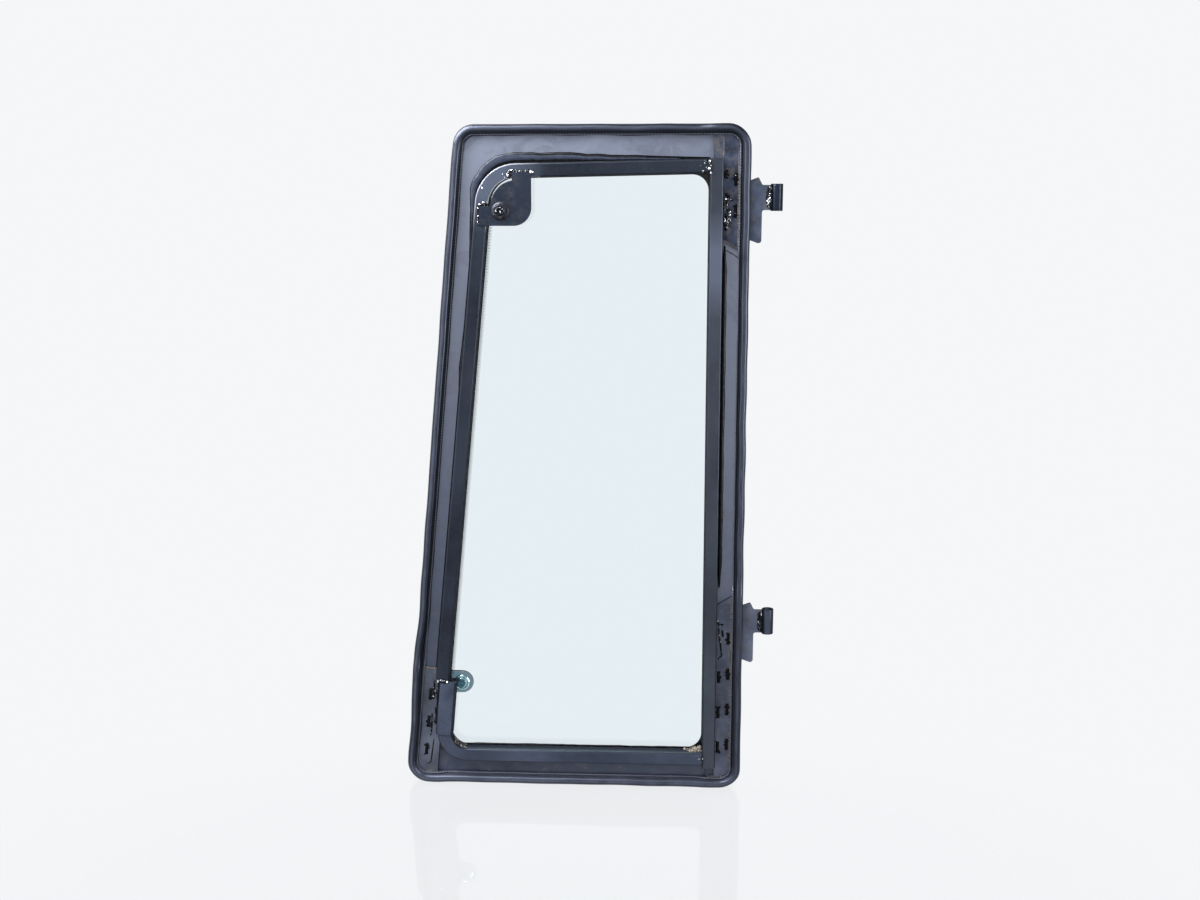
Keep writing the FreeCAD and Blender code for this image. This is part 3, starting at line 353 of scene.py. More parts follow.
def enamel_material():
    """Ceramic enamel fired on the glass: smooth and glossy, with wipe marks. Its colour is painted reflection,
    grey towards the top and reaching higher on the hinge side, with painted shade beside the latch rail.
    """
    material, tree, shader, place = new_material("ceramic_border_enamel")
    colours, spot = finish(), (place, "Object")
    where = add_node(tree, "SeparateXYZ", {"Vector": spot})
    smear = add_node(tree, "TexNoise", {
        "Vector": spot, "Scale": per_metre(38), "Detail": 6.0, "Roughness": 0.62, "Distortion": 0.8})
    # Painted reflection: its edge slants higher towards the hinge side and wavers with the smears.
    drift = add_node(tree, "MapRange", {
        "Value": smear, "From Min": 0.3, "From Max": 0.7, "To Min": -0.05, "To Max": 0.05})
    hinge_side = add_node(tree, "Math", {0: (where, "X"), 1: 0.3, 2: drift}, operation="MULTIPLY_ADD")
    height = add_node(tree, "Math", {0: (where, "Z"), 1: hinge_side}, operation="ADD")
    # Painted reflection from dark at the sill to grey near the top, shaped also to even out how the lamps light the
    # border.
    lit_tone = add_node(tree, "ValToRGB", {"Fac": within(tree, (height, -0.385, 0.635, 1.0))})
    stops = lit_tone.color_ramp.elements
    stops[0].color, stops[1].color = colours.enamel_low, colours.enamel_lit_top
    for position, shade in ((0.3, colours.enamel_lit_middle), (0.64, colours.enamel_lit_high), (0.9, colours.enamel_lit_high)):
        stops.new(position).color = shade
    colour = laid_over(tree, lit_tone, colours.enamel_smudge, within(tree, (smear, 0.54, 0.72, 0.45)))
    inset = add_node(tree, "VectorMath", {0: spot, 1: LATCH_IN}, operation="DOT_PRODUCT"), "Value"
    edge = GLASS_CORNERS[0].dot(LATCH_IN)
    # Painted shade: the border is darkened beside the latch rail, below the bend.
    beside_rail = within(tree, (inset, edge + 12 * MM, edge + 30 * MM, 0.4),
                         (inset, edge + 36 * MM, edge + 32 * MM, 1.0), ((where, "Z"), 0.57, 0.44, 1.0))
    colour = laid_over(tree, colour, colours.enamel_low, beside_rail)
    # The border under the tubes is laid black in the adhesive's colour; in the corner by the post, where it shows,
    # this is adhesive black and painted shade.
    under_tubes = within(tree, (inset, edge + 41 * MM, edge + 43 * MM, 1.0), ((where, "X"), -0.078, -0.08, 1.0),
                         ((where, "Z"), -0.182, -0.18, 1.0), ((where, "Z"), 0.63, 0.628, 1.0))
    wiped = add_node(tree, "MapRange", {
        "Value": smear, "From Min": 0.35, "From Max": 0.7, "To Min": 0.14, "To Max": 0.3})
    wire(tree, shader, {
        "Base Color": laid_over(tree, colour, colours.adhesive, under_tubes), "Roughness": wiped,
        "Specular IOR Level": 0.35})
    return material


def rubber_material(name, base, highlight_share, roughness):
    """Extruded EPDM: blue-black, with a grey painted highlight on the crests that face the cab, stronger on the
    latch side, grey dust along the sill, and a faint drag texture.
    """
    material, tree, shader, place = new_material(name)
    colours, spot = finish(), (place, "Object")
    where = add_node(tree, "SeparateXYZ", {"Vector": spot})
    mottle = add_node(tree, "TexNoise", {"Vector": spot, "Scale": per_metre(30), "Detail": 7.0, "Roughness": 0.68})
    amount = add_node(tree, "MapRange", {
        "Value": mottle, "From Min": 0.35, "From Max": 0.7, "To Min": highlight_share * 0.3, "To Max": highlight_share})
    # Painted highlight: the mottled grey lies on the crests that face the cab, stronger on the latch side.
    latch_side = add_node(tree, "MapRange", {
        "Value": (where, "X"), "From Min": -0.42, "From Max": -0.06, "To Min": 1.0, "To Max": 0.7})
    worn = add_node(tree, "Math", {0: amount, 1: latch_side}, operation="MULTIPLY")
    colour = laid_over(tree, base, colours.rubber_highlight_and_dust, worn, cab_facing(tree, place, -0.93, -0.995))
    at_sill = within(tree, ((where, "Z"), -0.19, -0.21, 0.5))
    colour = laid_over(tree, colour, colours.rubber_highlight_and_dust, at_sill, mottle)
    grain = add_node(tree, "TexNoise", {"Vector": spot, "Scale": per_metre(1.8), "Detail": 3.0})
    wire(tree, shader, {
        "Base Color": colour, "Roughness": dull_flanks(tree, place, roughness),
        "Normal": add_node(tree, "Bump", {"Strength": 0.12, "Distance": 0.3 * MM, "Height": grain}),
        "Specular IOR Level": 0.26, "Specular Tint": colours.cool_gloss})
    return material


def adhesive_material(name, lustre=0.0, lumpy=0.3, dark_right_of=None):
    """Cured polyurethane: near black and glossy on its lumpy flanks; where asked, a grey painted reflection on the
    flat that faces the cab, left out where it faces up right of the bend and below the bend.
    """
    material, tree, shader, place = new_material(name)
    spot = (place, "Object")
    lumps = add_node(tree, "TexNoise", {"Vector": spot, "Scale": per_metre(8), "Detail": 4.0})
    # Painted reflection: a grey share on the flat that faces the cab.
    lustre_share = add_node(tree, "MapRange", {
        "Value": lumps, "From Min": 0.3, "From Max": 0.6, "To Min": lustre * 0.8, "To Max": lustre})
    share = add_node(tree, "Math", {0: lustre_share, 1: cab_facing(tree, place)}, operation="MULTIPLY")
    # The painted reflection is left out where the bead faces up right of the bend, and below the bend.
    if dark_right_of is not None:
        way = add_node(tree, "SeparateXYZ", {"Vector": (place, "Normal")})
        where = add_node(tree, "SeparateXYZ", {"Vector": spot})
        along_top = within(tree, ((way, "Z"), -0.02, 0.1, 1.0),
                           ((where, "X"), dark_right_of - 30 * MM, dark_right_of + 30 * MM, 1.0))
        below_bend = within(tree, ((where, "Z"), 0.6, 0.54, 1.0))
        no_reflection = add_node(tree, "Math", {0: along_top, 1: below_bend}, operation="ADD")
        share = add_node(tree, "Math", {0: share, 1: no_reflection}, operation="SUBTRACT", use_clamp=True)
    sheen = add_node(tree, "MapRange", {
        "Value": lumps, "From Min": 0.3, "From Max": 0.7, "To Min": 0.18, "To Max": 0.36})
    wire(tree, shader, {
        "Base Color": laid_over(tree, finish().adhesive, finish().adhesive_lustre, share), "Roughness": sheen,
        "Normal": add_node(tree, "Bump", {"Strength": lumpy, "Distance": 0.8 * MM, "Height": lumps}),
        "Specular IOR Level": 0.1})
    return material


def weld_material(name, bare_from):
    """Weld metal under thin paint: black and glossy, with bare crests that catch the light."""
    material, tree, shader, place = new_material(name)
    wear = add_node(tree, "TexNoise", {
        "Vector": (place, "Object"), "Scale": per_metre(2.4), "Detail": 3.0, "Roughness": 0.6})
    bare = within(tree, (wear, bare_from, bare_from + 0.05, 1.0))
    wire(tree, shader, {
        "Base Color": laid_over(tree, finish().paint_deep, finish().bare_steel_and_highlight, bare), "Metallic": bare,
        "Roughness": add_node(tree, "MapRange", {"Value": bare, "To Min": 0.26, "To Max": 0.34}),
        "Specular IOR Level": 0.08})
    return material


def plated_material(name, pale, deep, roughness):
    """Plated steel: clouded metal, paler where it was handled."""
    material, tree, shader, place = new_material(name)
    cloud = add_node(tree, "TexNoise", {"Vector": (place, "Object"), "Scale": per_metre(6), "Detail": 5.0})
    sheen = add_node(tree, "MapRange", {
        "Value": cloud, "From Min": 0.3, "From Max": 0.7, "To Min": roughness - 0.06, "To Max": roughness + 0.1})
    wire(tree, shader, {
        "Base Color": laid_over(tree, pale, deep, within(tree, (cloud, 0.35, 0.65, 1.0))), "Roughness": sheen,
        "Metallic": 1.0})
    return material


def dirt_material(name, deep, pale):
    """Dry soil: matt brown grey with pale grains."""
    material, tree, shader, place = new_material(name)
    grains = add_node(tree, "TexNoise", {"Vector": (place, "Object"), "Scale": per_metre(3), "Detail": 5.0})
    wire(tree, shader, {
        "Base Color": laid_over(tree, linear(deep), linear(pale), within(tree, (grains, 0.4, 0.65, 1.0))),
        "Roughness": 0.85})
    return material


def glass_material():
    """Toughened float glass: clear, faintly blue-green, with a polished surface."""
    material, tree, shader, _ = new_material("toughened_glass")
    wire(tree, shader, {"Base Color": finish().glass, "Roughness": 0.0, "IOR": 1.52, "Transmission Weight": 1.0})
    return material


def dress(material, *names):
    """Gives CAD nodes one material."""
    for name in names:
        mesh = NODES[name].data
        mesh.materials.clear()
        mesh.materials.append(material)


def break_edges(*names):
    """Rounds the cut edges of CAD nodes a little, so that they catch the light."""
    for name in names:
        weld = NODES[name].modifiers.new("joined_facets", "WELD")
        weld.merge_threshold = 1e-6
        bevel = NODES[name].modifiers.new("broken_edges", "BEVEL")
        bevel.width = sizes().edge_break
        bevel.segments = 2
        bevel.limit_method = "ANGLE"
        bevel.angle_limit = math.radians(40)


def open_edges(bm):
    """Edges that bound a hole."""
    return [edge for edge in bm.edges if edge.is_boundary]


def piece(name, bm, material, smooth=True, replaced=(), seat=None):
    """Makes an object from a bmesh, in place, cut flat at its seat, and lets it ride on the window."""
    if seat is not None:
        bmesh.ops.bisect_plane(bm, geom=[*bm.verts, *bm.edges, *bm.faces], plane_co=(0, seat, 0),
                               plane_no=-TO_CAB, clear_outer=True)
        bmesh.ops.holes_fill(bm, edges=open_edges(bm), sides=0)
    if not bm.faces:
        raise RuntimeError(f"{name} has no faces")
    bmesh.ops.recalc_face_normals(bm, faces=bm.faces)
    mesh = bpy.data.meshes.new(name)
    bm.to_mesh(mesh)
    bm.free()
    for polygon in mesh.polygons:
        polygon.use_smooth = smooth
    mesh.materials.append(material)
    made = bpy.data.objects.new(name, mesh)
    bpy.context.scene.collection.objects.link(made)
    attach(made, "root")
    if replaced:
        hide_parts(*replaced)


def new_parts(geom, kind):
    """Vertices, edges or faces among the parts that an operator made."""
    return [item for item in geom if isinstance(item, kind)]


def drawn_to(bm, vert, point):
    """Draws an edge from a vertex to a point, and returns the vertex there and the edge."""
    grown = bmesh.ops.extrude_vert_indiv(bm, verts=[vert])
    end = grown["verts"][0]
    bmesh.ops.translate(bm, vec=point - end.co, verts=[end])
    return end, grown["edges"][0]


def carried(bm, edges, move_verts):
    """Extrudes a ring of edges one step, moves its new vertices, and returns the new ring."""
    grown = bmesh.ops.extrude_edge_only(bm, edges=edges)["geom"]
    verts = new_parts(grown, bmesh.types.BMVert)
    move_verts(verts)
    fresh = set(verts)
    return [edge for edge in new_parts(grown, bmesh.types.BMEdge) if all(vert in fresh for vert in edge.verts)]


def ring_frame(point, along, up, half_width, height):
    """Matrix that carries a unit circle to a section across a run."""
    side = along.cross(up).normalized()
    rise = side.cross(along).normalized()
    turn = Matrix((side * half_width, rise * height, along.normalized())).transposed().to_4x4()
    return Matrix.Translation(point) @ turn


def swept_bead(bm, stations, sides=10, closed=False):
    """Bead through (point, along, up, half width, height) stations, with ends or as a closed ring."""
    frames = [ring_frame(*station) for station in stations]
    ring = bmesh.ops.create_circle(bm, cap_ends=False, radius=1.0, segments=sides, matrix=frames[0])
    start = list(dict.fromkeys(edge for vert in ring["verts"] for edge in vert.link_edges))
    end = start
    for last, now in zip(frames, frames[1:]):
        step = now @ last.inverted()
        end = carried(bm, end, lambda verts: bmesh.ops.transform(bm, matrix=step, verts=verts))
    if closed:
        bmesh.ops.bridge_loops(bm, edges=start + end)
    else:
        for ring_edges in (start, end):
            bmesh.ops.contextual_create(bm, geom=ring_edges)


def even_steps(points, step):
    """Points and directions at even steps along a run of points."""
    marks = []
    for here, there in zip(points, points[1:]):
        length = (there - here).length
        count = max(1, round(length / step))
        way = (there - here) / length
        marks += [(here + way * (length * k / count), way) for k in range(count)]
    return marks + [(points[-1], (points[-1] - points[-2]).normalized())]


def weld_stations(points, up, rng, width):
    """Stations of a weld bead with its ripples, along a run of points."""
    ripple = (0.78, 1.0, 0.95)
    step = sizes().ripple_pitch / len(ripple)
    marks = even_steps(points, step)
    stations = []
    for index, (point, along) in enumerate(marks):
        swell = ripple[index % len(ripple)] * (0.86 + 0.28 * rng.random())
        from_end = min(index, len(marks) - 1 - index) * step
        taper = min(1.0, 0.35 + from_end / (width * 0.9))
        reach = width / 2 * swell * taper
        stations.append((point, along, up, reach, reach * 0.85))
    return stations


def lumpy_stations(points, rng, half_width, height, rough=0.35, step=2.2 * MM):
    """Stations of a bead of adhesive or sealant laid by hand, along a run of points."""
    marks = even_steps(points, step)
    swell, stations = 1.0, []
    for index, (point, along) in enumerate(marks):
        swell += (1.0 + rough * (2 * rng.random() - 1) - swell) * 0.6
        taper = min(1.0, 0.3 + 0.35 * min(index, len(marks) - 1 - index))
        stations.append((point, along, TO_CAB, half_width * swell * taper, height * swell * taper))
    return stations


def droplet(bm, centre, radius, rng, flat=0.75):
    """Small uneven drop of weld metal or crumb of dirt."""
    stretch = [radius * (0.8 + 0.4 * rng.random()) for _ in range(3)]
    stretch[1] *= flat
    turn = Matrix.Rotation(rng.random() * math.tau, 4, "Y")
    shape = Matrix.Translation(centre) @ turn @ Matrix.Diagonal((*stretch, 1.0))
    bmesh.ops.create_icosphere(bm, subdivisions=2 if radius > 1.2 * MM else 1, radius=1.0, matrix=shape)


def turned_profile(bm, centre, points, segments=48):
    """Surface of revolution about an axis through the window, from (radius, depth) points in metres."""
    spots = [Vector((centre.x + radius, depth, centre.z)) for radius, depth in points]
    vert = bm.verts.new(spots[0])
    geom = [vert]
    for spot in spots[1:]:
        vert, edge = drawn_to(bm, vert, spot)
        geom += [vert, edge]
    bmesh.ops.spin(bm, geom=geom, cent=centre, axis=-TO_CAB, angle=math.tau, steps=segments, use_merge=True)


def edge_stations(step):
    """Points and directions round the edge of the glass, counter-clockwise from the sill corner."""
    marks = []
    for index, corner in enumerate(GLASS_CORNERS):
        before, after, beyond = (GLASS_CORNERS[(index + k) % 4] for k in (-1, 1, 2))
        into, out, onward = (way.normalized() for way in (corner - before, after - corner, beyond - after))
        turn, next_turn = into.angle(out), out.angle(onward)
        run, next_run = CORNER_RADIUS * math.tan(turn / 2), CORNER_RADIUS * math.tan(next_turn / 2)
        centre = corner - into * run - outward(into) * CORNER_RADIUS
        count = max(8, round(CORNER_RADIUS * turn / step))
        for k in range(count):
            way = Matrix.Rotation(-turn * k / count, 3, "Y") @ into
            marks.append((centre + outward(way) * CORNER_RADIUS, way))
        start, length = corner + out * run, (after - corner).length - run - next_run
        count = round(length / step)
        marks += [(start + out * (length * k / count), out) for k in range(count)]
    return marks


def steel_under(point):
    """How far the plates and the strip lift the seal at a point of the glass edge."""
    strip_edge, corner_plate_edge = -83 * MM, -462.5 * MM
    lower_plate_top, upper_plate_foot, corner_plate_top = 57.5 * MM, 520.5 * MM, 166 * MM
    station = (point - GLASS_CORNERS[0]).dot(LATCH_UP)
    away = min(
        max(0.0, point.z - lower_plate_top, strip_edge - point.x),
        max(0.0, upper_plate_foot - point.z, strip_edge - point.x),
        max(0.0, station - corner_plate_top, point.x - corner_plate_edge))
    near = max(0.0, 1.0 - away / SEAL_RAMP)
    return SEAL_LIFT * near * near * (3 - 2 * near)


class CABWINDOW_OT_stage(bpy.types.Operator):
    """Pale floor, background, soft lamps and the camera."""
    bl_idname = "cabwindow.stage"
    bl_label = "Stage"

    def execute(self, context):
        scene = context.scene
        scene.view_settings.view_transform = "Standard"
        ground = finish().ground
        self.make_world(scene, ground)
        self.make_floor(scene, ground)
        self.make_lamps(scene)
        self.make_camera(scene)
        return {"FINISHED"}

    def shown_rays(self, tree):
        """Rays that show the ground: from the camera, and through gloss and glass."""
        rays = add_node(tree, "LightPath")
        seen = add_node(tree, "Math", {
            0: (rays, "Is Camera Ray"), 1: (rays, "Is Transmission Ray")}, operation="MAXIMUM")
        return add_node(tree, "Math", {0: seen, 1: (rays, "Is Glossy Ray")}, operation="MAXIMUM")

    def make_world(self, scene, ground):
        """Pale where it is seen, directly or in gloss and glass, dimmer as light, and with a dark ceiling in
        gloss."""
        world = bpy.data.worlds.new("studio")
        world.use_nodes = True
        scene.world = world
        tree = world.node_tree
        tree.nodes.clear()
        fill = add_node(tree, "Background", {"Color": linear("#eef2f8"), "Strength": 0.55})
        pale = add_node(tree, "Background", {"Color": ground, "Strength": 1.0})
        ceiling = add_node(tree, "Background", {"Color": ground, "Strength": 0.12})
        walls = add_node(tree, "MixShader", {0: self.shown_rays(tree), 1: fill, 2: pale})
        rays = add_node(tree, "LightPath")
        way = add_node(tree, "SeparateXYZ", {"Vector": (add_node(tree, "TexCoord"), "Generated")})
        overhead = within(tree, ((way, "Z"), 0.3, 0.75, 1.0), ((rays, "Is Glossy Ray"), 0.0, 1.0, 1.0))
        room = add_node(tree, "MixShader", {0: overhead, 1: walls, 2: ceiling})
        add_node(tree, "OutputWorld", {"Surface": room})

    def make_floor(self, scene, ground):
        """Pale half-gloss card under the seal: it keeps a soft shadow and fades out into the background."""
        bm = bmesh.new()
        bmesh.ops.create_circle(bm, cap_ends=True, radius=1.0, segments=64,
                                matrix=Matrix.Translation((-0.25, 0, SILL - 0.2 * MM)))
        mesh = bpy.data.meshes.new("floor")
        bm.to_mesh(mesh)
        bm.free()
        floor = bpy.data.objects.new("floor", mesh)
        scene.collection.objects.link(floor)
        material = bpy.data.materials.new("pale_floor_card")
        material.use_nodes = True
        tree = material.node_tree
        tree.nodes.clear()
        spot = add_node(tree, "Mapping", {
            "Vector": (add_node(tree, "TexCoord"), "Object"), "Location": (-0.25, -0.25, SILL),
            "Scale": (1.0, 0.55, 1.0)}, vector_type="TEXTURE")
        fade = add_node(tree, "TexGradient", {"Vector": spot}, gradient_type="SPHERICAL")
        kept = add_node(tree, "MapRange", {
            "Value": (fade, "Fac"), "From Min": 0.02, "From Max": 0.6}, interpolation_type="SMOOTHSTEP")
        share = add_node(tree, "Math", {0: self.shown_rays(tree), 1: 0.8}, operation="MULTIPLY")
        card = add_node(tree, "BsdfDiffuse", {"Color": ground})
        gloss = add_node(tree, "BsdfGlossy", {"Color": ground, "Roughness": 0.0})
        glow = add_node(tree, "Emission", {"Color": ground, "Strength": 1.08})
        surface = add_node(tree, "MixShader", {0: 0.5, 1: card, 2: gloss})
        lit = add_node(tree, "MixShader", {0: share, 1: surface, 2: glow})
        shown = add_node(tree, "MixShader", {0: kept, 1: add_node(tree, "BsdfTransparent"), 2: lit})
        add_node(tree, "OutputMaterial", {"Surface": shown})
        mesh.materials.append(material)

    def make_lamps(self, scene):
        """Large soft boxes in front, and bright panels beside the window that show only in its gloss."""
        boxes = [
            ("soft_box_top", (-0.9, -1.5, 2.1), (1.8, 1.2), 34.0, True),
            ("soft_box_latch_side", (-2.3, -1.1, 0.6), (1.0, 1.8), 20.0, True),
            ("soft_box_hinge_side", (1.9, -1.3, 0.9), (1.0, 1.8), 16.0, True),
            ("gloss_panel_latch", (-1.15, -0.35, 1.5), (1.6, 1.3), 260.0, False),
            ("gloss_panel_hinge", (1.5, -0.9, 0.5), (0.5, 1.6), 80.0, False),
            ("gloss_panel_left", (-2.0, -1.6, 0.4), (0.5, 1.8), 35.0, False),
        ]
        passed_by = bpy.data.collections.new("floor_without_lamps")
        passed_by.objects.link(scene.objects["floor"])
        passed_by.collection_objects[0].light_linking.link_state = "EXCLUDE"
        aim = Vector((-0.25, 0, 0.3))
        for name, spot, size, power, lights in boxes:
            lamp = bpy.data.lights.new(name, "AREA")
            lamp.shape = "RECTANGLE"
            lamp.size, lamp.size_y = size
            lamp.energy = power
            lamp.color = (0.97, 0.985, 1.0)
            holder = bpy.data.objects.new(name, lamp)
            holder.visible_diffuse = lights
            holder.visible_transmission = False
            holder.light_linking.receiver_collection = passed_by
            holder.location = spot
            holder.rotation_euler = (aim - Vector(spot)).to_track_quat("-Z", "Y").to_euler()
            scene.collection.objects.link(holder)

    def make_camera(self, scene):
        """Eye level near the top of the pane, looking a little down."""
        camera = bpy.data.cameras.new("photo_camera")
        camera.sensor_fit = "HORIZONTAL"
        camera.sensor_width = 36.0
        camera.lens = 41.1
        holder = bpy.data.objects.new("photo_camera", camera)
        holder.location = at(-138.6, -1829.0, 584.6)
        pitch, turn = math.radians(10.2), math.radians(2.9)
        ahead = Vector((-math.sin(turn) * math.cos(pitch), math.cos(turn) * math.cos(pitch), -math.sin(pitch)))
        holder.rotation_euler = ahead.to_track_quat("-Z", "Y").to_euler()
        scene.collection.objects.link(holder)
        scene.camera = holder


class CABWINDOW_OT_glass(bpy.types.Operator):
    """Glass pane, its enamel border and the dots that end it."""
    bl_idname = "cabwindow.glass"
    bl_label = "Glass and border"

    def execute(self, context):
        dress(glass_material(), "glass_pane")
        enamel = enamel_material()
        dress(enamel, "border_print")
        self.border_dots(enamel)
        return {"FINISHED"}

    def border_dots(self, enamel):
        """Rows of dots that end the border beside the latch rail, smaller towards the clear glass."""
        foot, head = at(-451, 0, -169.5), at(-372.3, 0, 616.5)
        pitch, depth, corner_room = sizes().dot_pitch, GLASS_FACE - 0.05 * MM, 21 * MM
        way = (head - foot).normalized()
        start, stop = foot + way * corner_room, head - way * corner_room
        bm = bmesh.new()
        # Each row in millimetres: distance from the border, radius of its dots, and its shift in pitches
        for row, radius, shift in ((1.0, 0.7, 0.0), (2.4, 0.55, 0.5), (3.8, 0.4, 0.0)):
            for point, _ in even_steps([start + way * (pitch * shift), stop], pitch):
                spot = point + outward(way) * (row * MM)
                flat = Matrix.Translation((spot.x, depth, spot.z)) @ Matrix.Rotation(math.pi / 2, 4, "X")
                bmesh.ops.create_circle(bm, cap_ends=True, radius=radius * MM, segments=6, matrix=flat)
        piece("border_dots", bm, enamel, smooth=False)


class CABWINDOW_OT_steel(bpy.types.Operator):
    """Paint on the tubes, plates, hinges and gusset."""
    bl_idname = "cabwindow.steel"
    bl_label = "Painted steel"

    def execute(self, context):
        bend = BEND_CENTRE + at(-33, TUBE_FACE / MM, 33)
        # Face colours differ by piece: lighter and darker copies of the same black paint, as painted light that
        # matches how each piece is lit.
        paints = [
            ("bent_tube", "black_rail_paint", finish().paint_lit_face, {"highlight_at": bend, "edge_highlight": 1.0}),
            ("bottom_tube", "black_tube_paint", linear("#525a6c"), {"patch_mm": 170}),
            ("hinge_post", "black_post_paint", linear("#464b54"),
             {"patch_mm": 190, "highlight_at": at(-79, -19.5, 505)}),
            ("latch_channel", "channel_paint", linear("#5a6277"), {"patch_mm": 60}),
            ("corner_gusset", "black_gusset_paint", linear("#2e3644"), {"dust": 0.2}),
            ("upper_hinge_barrel", "black_barrel_paint", linear("#2c3443"), {"gloss": 0.2, "shine": 0.08}),
            ("lower_hinge_barrel", "lower_barrel_paint", linear("#565d6f"), {"gloss": 0.36, "shine": 0.1}),
            # The tab is black steel behind the glass; its pale grey-blue is painted light and reflection from the
            # glass.
            ("catch_tab", "lit_tab_paint", linear("#8599a3"), {"gloss": 0.4, "patch_mm": 20}),
            ("post_strip", "dusty_plate_paint", finish().plate_lit_face,
             {"dust": 0.8, "gloss": 0.36, "patch_mm": 30, "least_lit": 0.1}),
            ("upper_hinge_plate", "stained_plate_paint", linear("#5a6278"),
             {"dust": 0.62, "gloss": 0.36, "patch_mm": 30, "least_lit": 0.1, "highlight_at": at(18, -1.5, 575)}),
            ("lower_hinge_plate", "sill_plate_paint", linear("#757c90"),
             {"dust": 0.5, "gloss": 0.36, "patch_mm": 48}),
            ("corner_plate", "corner_plate_paint", linear("#7f8698"), {"dust": 0.45, "gloss": 0.36, "patch_mm": 70}),
        ]
        for node, name, face, look in paints:
            dress(paint_material(name, face, **look), node)
        break_edges("corner_gusset", "post_strip", "upper_hinge_plate", "lower_hinge_plate", "corner_plate",
                    "upper_hinge_barrel", "lower_hinge_barrel", "catch_tab")
        return {"FINISHED"}


class CABWINDOW_OT_seal(bpy.types.Operator):
    """Edge seal: clip, bulb and ribbed lip, hand fitted round the glass and over the plates."""
    bl_idname = "cabwindow.seal"
    bl_label = "Edge seal"

    def execute(self, context):
        gasket = rubber_material("glowing_gasket", linear("#9fb2bb"), 0.1, 0.4)
        # The gasket pressed on the pane has a pale base and glows in the grey-green dust colour: painted light for
        # what the pane carries to it, which plain lamps do not reach.
        wire(gasket.node_tree, gasket.node_tree.nodes["Principled BSDF"], {
            "Emission Color": finish().film_and_light, "Emission Strength": 0.7})
        dress(gasket, "catch_gasket")
        self.seal_body(rubber_material("extruded_epdm", finish().rubber, 0.5, 0.34))
        # The lip ribs are paler than the seal: painted highlight on their tops.
        self.lip_ribs(rubber_material("ribbed_epdm_lip", linear("#74767e"), 0.5, 0.28))
        return {"FINISHED"}

    def section(self, bm, point, way):
        """Draws the section at one station, marks what moves each point of it, and returns its edges."""
        lifted = bm.verts.layers.int.new("lifted")
        normal = outward(way)

        def spot(across, depth):
            return point + normal * (across * MM) + Vector((0, depth * MM, 0))

        start = bm.verts.new(spot(BULB_ACROSS + BULB_RADIUS, BULB_DEPTH))
        over = bmesh.ops.spin(bm, geom=[start], cent=spot(BULB_ACROSS, BULB_DEPTH), axis=way,
                              angle=-math.radians(197), steps=18)
        end = new_parts(over["geom_last"], bmesh.types.BMVert)[0]
        for vert in bm.verts:
            vert[lifted] = BULB
        for across, depth, mark in SEAL_SECTION:
            end, _ = drawn_to(bm, end, spot(across, depth))
            end[lifted] = mark
        bmesh.ops.contextual_create(bm, geom=[end, start])
        return list(bm.edges)

    def fitted_frames(self, marks):
        """Frames of the clip, the lip and the bulb at each station. The clip keeps to the glass; the lip and the
        bulb climb onto the steel, wander as a hand-fitted seal does, fold at two corners and bulge where pressed."""
        rng = random.Random(5)
        waves = [(rng.uniform(14, 40), rng.random() * math.tau) for _ in range(4)]
        folds, fold_depth, fold_reach = (GLASS_CORNERS[0], GLASS_CORNERS[3]), 1.8 * MM, 40 * MM
        latch_bulge, bulge_station, bulge_reach, hinge_bulge = 2.8 * MM, 172 * MM, 40 * MM, 1.3 * MM
        frames = []
        for index, (point, way) in enumerate(marks):
            normal = outward(way)
            turn = Matrix((normal, way, way.cross(normal) * -1)).transposed().to_4x4()
            base = Matrix.Translation(point) @ turn
            phase = math.tau * index / len(marks)
            lean = sum(math.sin(round(rate) * phase + shift) for rate, shift in waves) / 8 + 0.5
            station = (point - GLASS_CORNERS[0]).dot(LATCH_UP)
            bulge = 0.0
            if normal.x < -0.9:
                bulge = latch_bulge * math.exp(-((station - bulge_station) / bulge_reach) ** 2)
            elif normal.x > 0.0:
                bulge = hinge_bulge * normal.x ** 3
            folded = fold_depth * max(0.0, 1 - min((point - corner).length for corner in folds) / fold_reach)
            inward = sizes().seal_wander * min(1.0, max(0.0, lean)) + folded - bulge
            climb = TO_CAB * steel_under(point)
            bulb_climb = climb * (1.0 - 0.7 * max(0.0, -normal.z))
            frames.append((base, Matrix.Translation(climb - normal * inward) @ base,
                           Matrix.Translation(bulb_climb - normal * inward) @ base))
        return frames

    def seal_body(self, material):
        """Carries the section round the window, each of its parts by its own frames, and closes the ring."""
        marks = edge_stations(sizes().seal_step)
        frames = self.fitted_frames(marks)
        bm = bmesh.new()
        start = self.section(bm, *marks[0])
        lifted = bm.verts.layers.int["lifted"]

        def carry(verts, before, after):
            for mark, (old, new) in enumerate(zip(before, after)):
                moved = [vert for vert in verts if vert[lifted] == mark]
                bmesh.ops.transform(bm, matrix=new @ old.inverted(), verts=moved)

        carry(bm.verts, [frames[0][CLIP]] * 3, frames[0])
        end = start
        for now, after in zip(frames, frames[1:]):
            end = carried(bm, end, lambda verts: carry(verts, now, after))
        bmesh.ops.bridge_loops(bm, edges=start + end)
        piece("fitted_seal", bm, material, replaced=("edge_seal",))

    def lip_ribs(self, material):
        """Row of ribs on the lip, where the wires of the clip press through."""
        bm = bmesh.new()
        crest, hollow = (1.25 * MM, 0.85 * MM), (0.35 * MM, 0.12 * MM)
        lip_inset, lip_top = 10.3, Vector((0, -0.9 * MM, 0))
        stations = []
        for index, (point, way) in enumerate(edge_stations(sizes().rib_pitch / 2)):
            spot = point - outward(way) * lip_inset * MM + lip_top + TO_CAB * steel_under(point)
            stations.append((spot, way, TO_CAB, *(hollow if index % 2 else crest)))
        swept_bead(bm, stations, sides=6, closed=True)
        piece("seal_lip_ribs", bm, material, smooth=False)


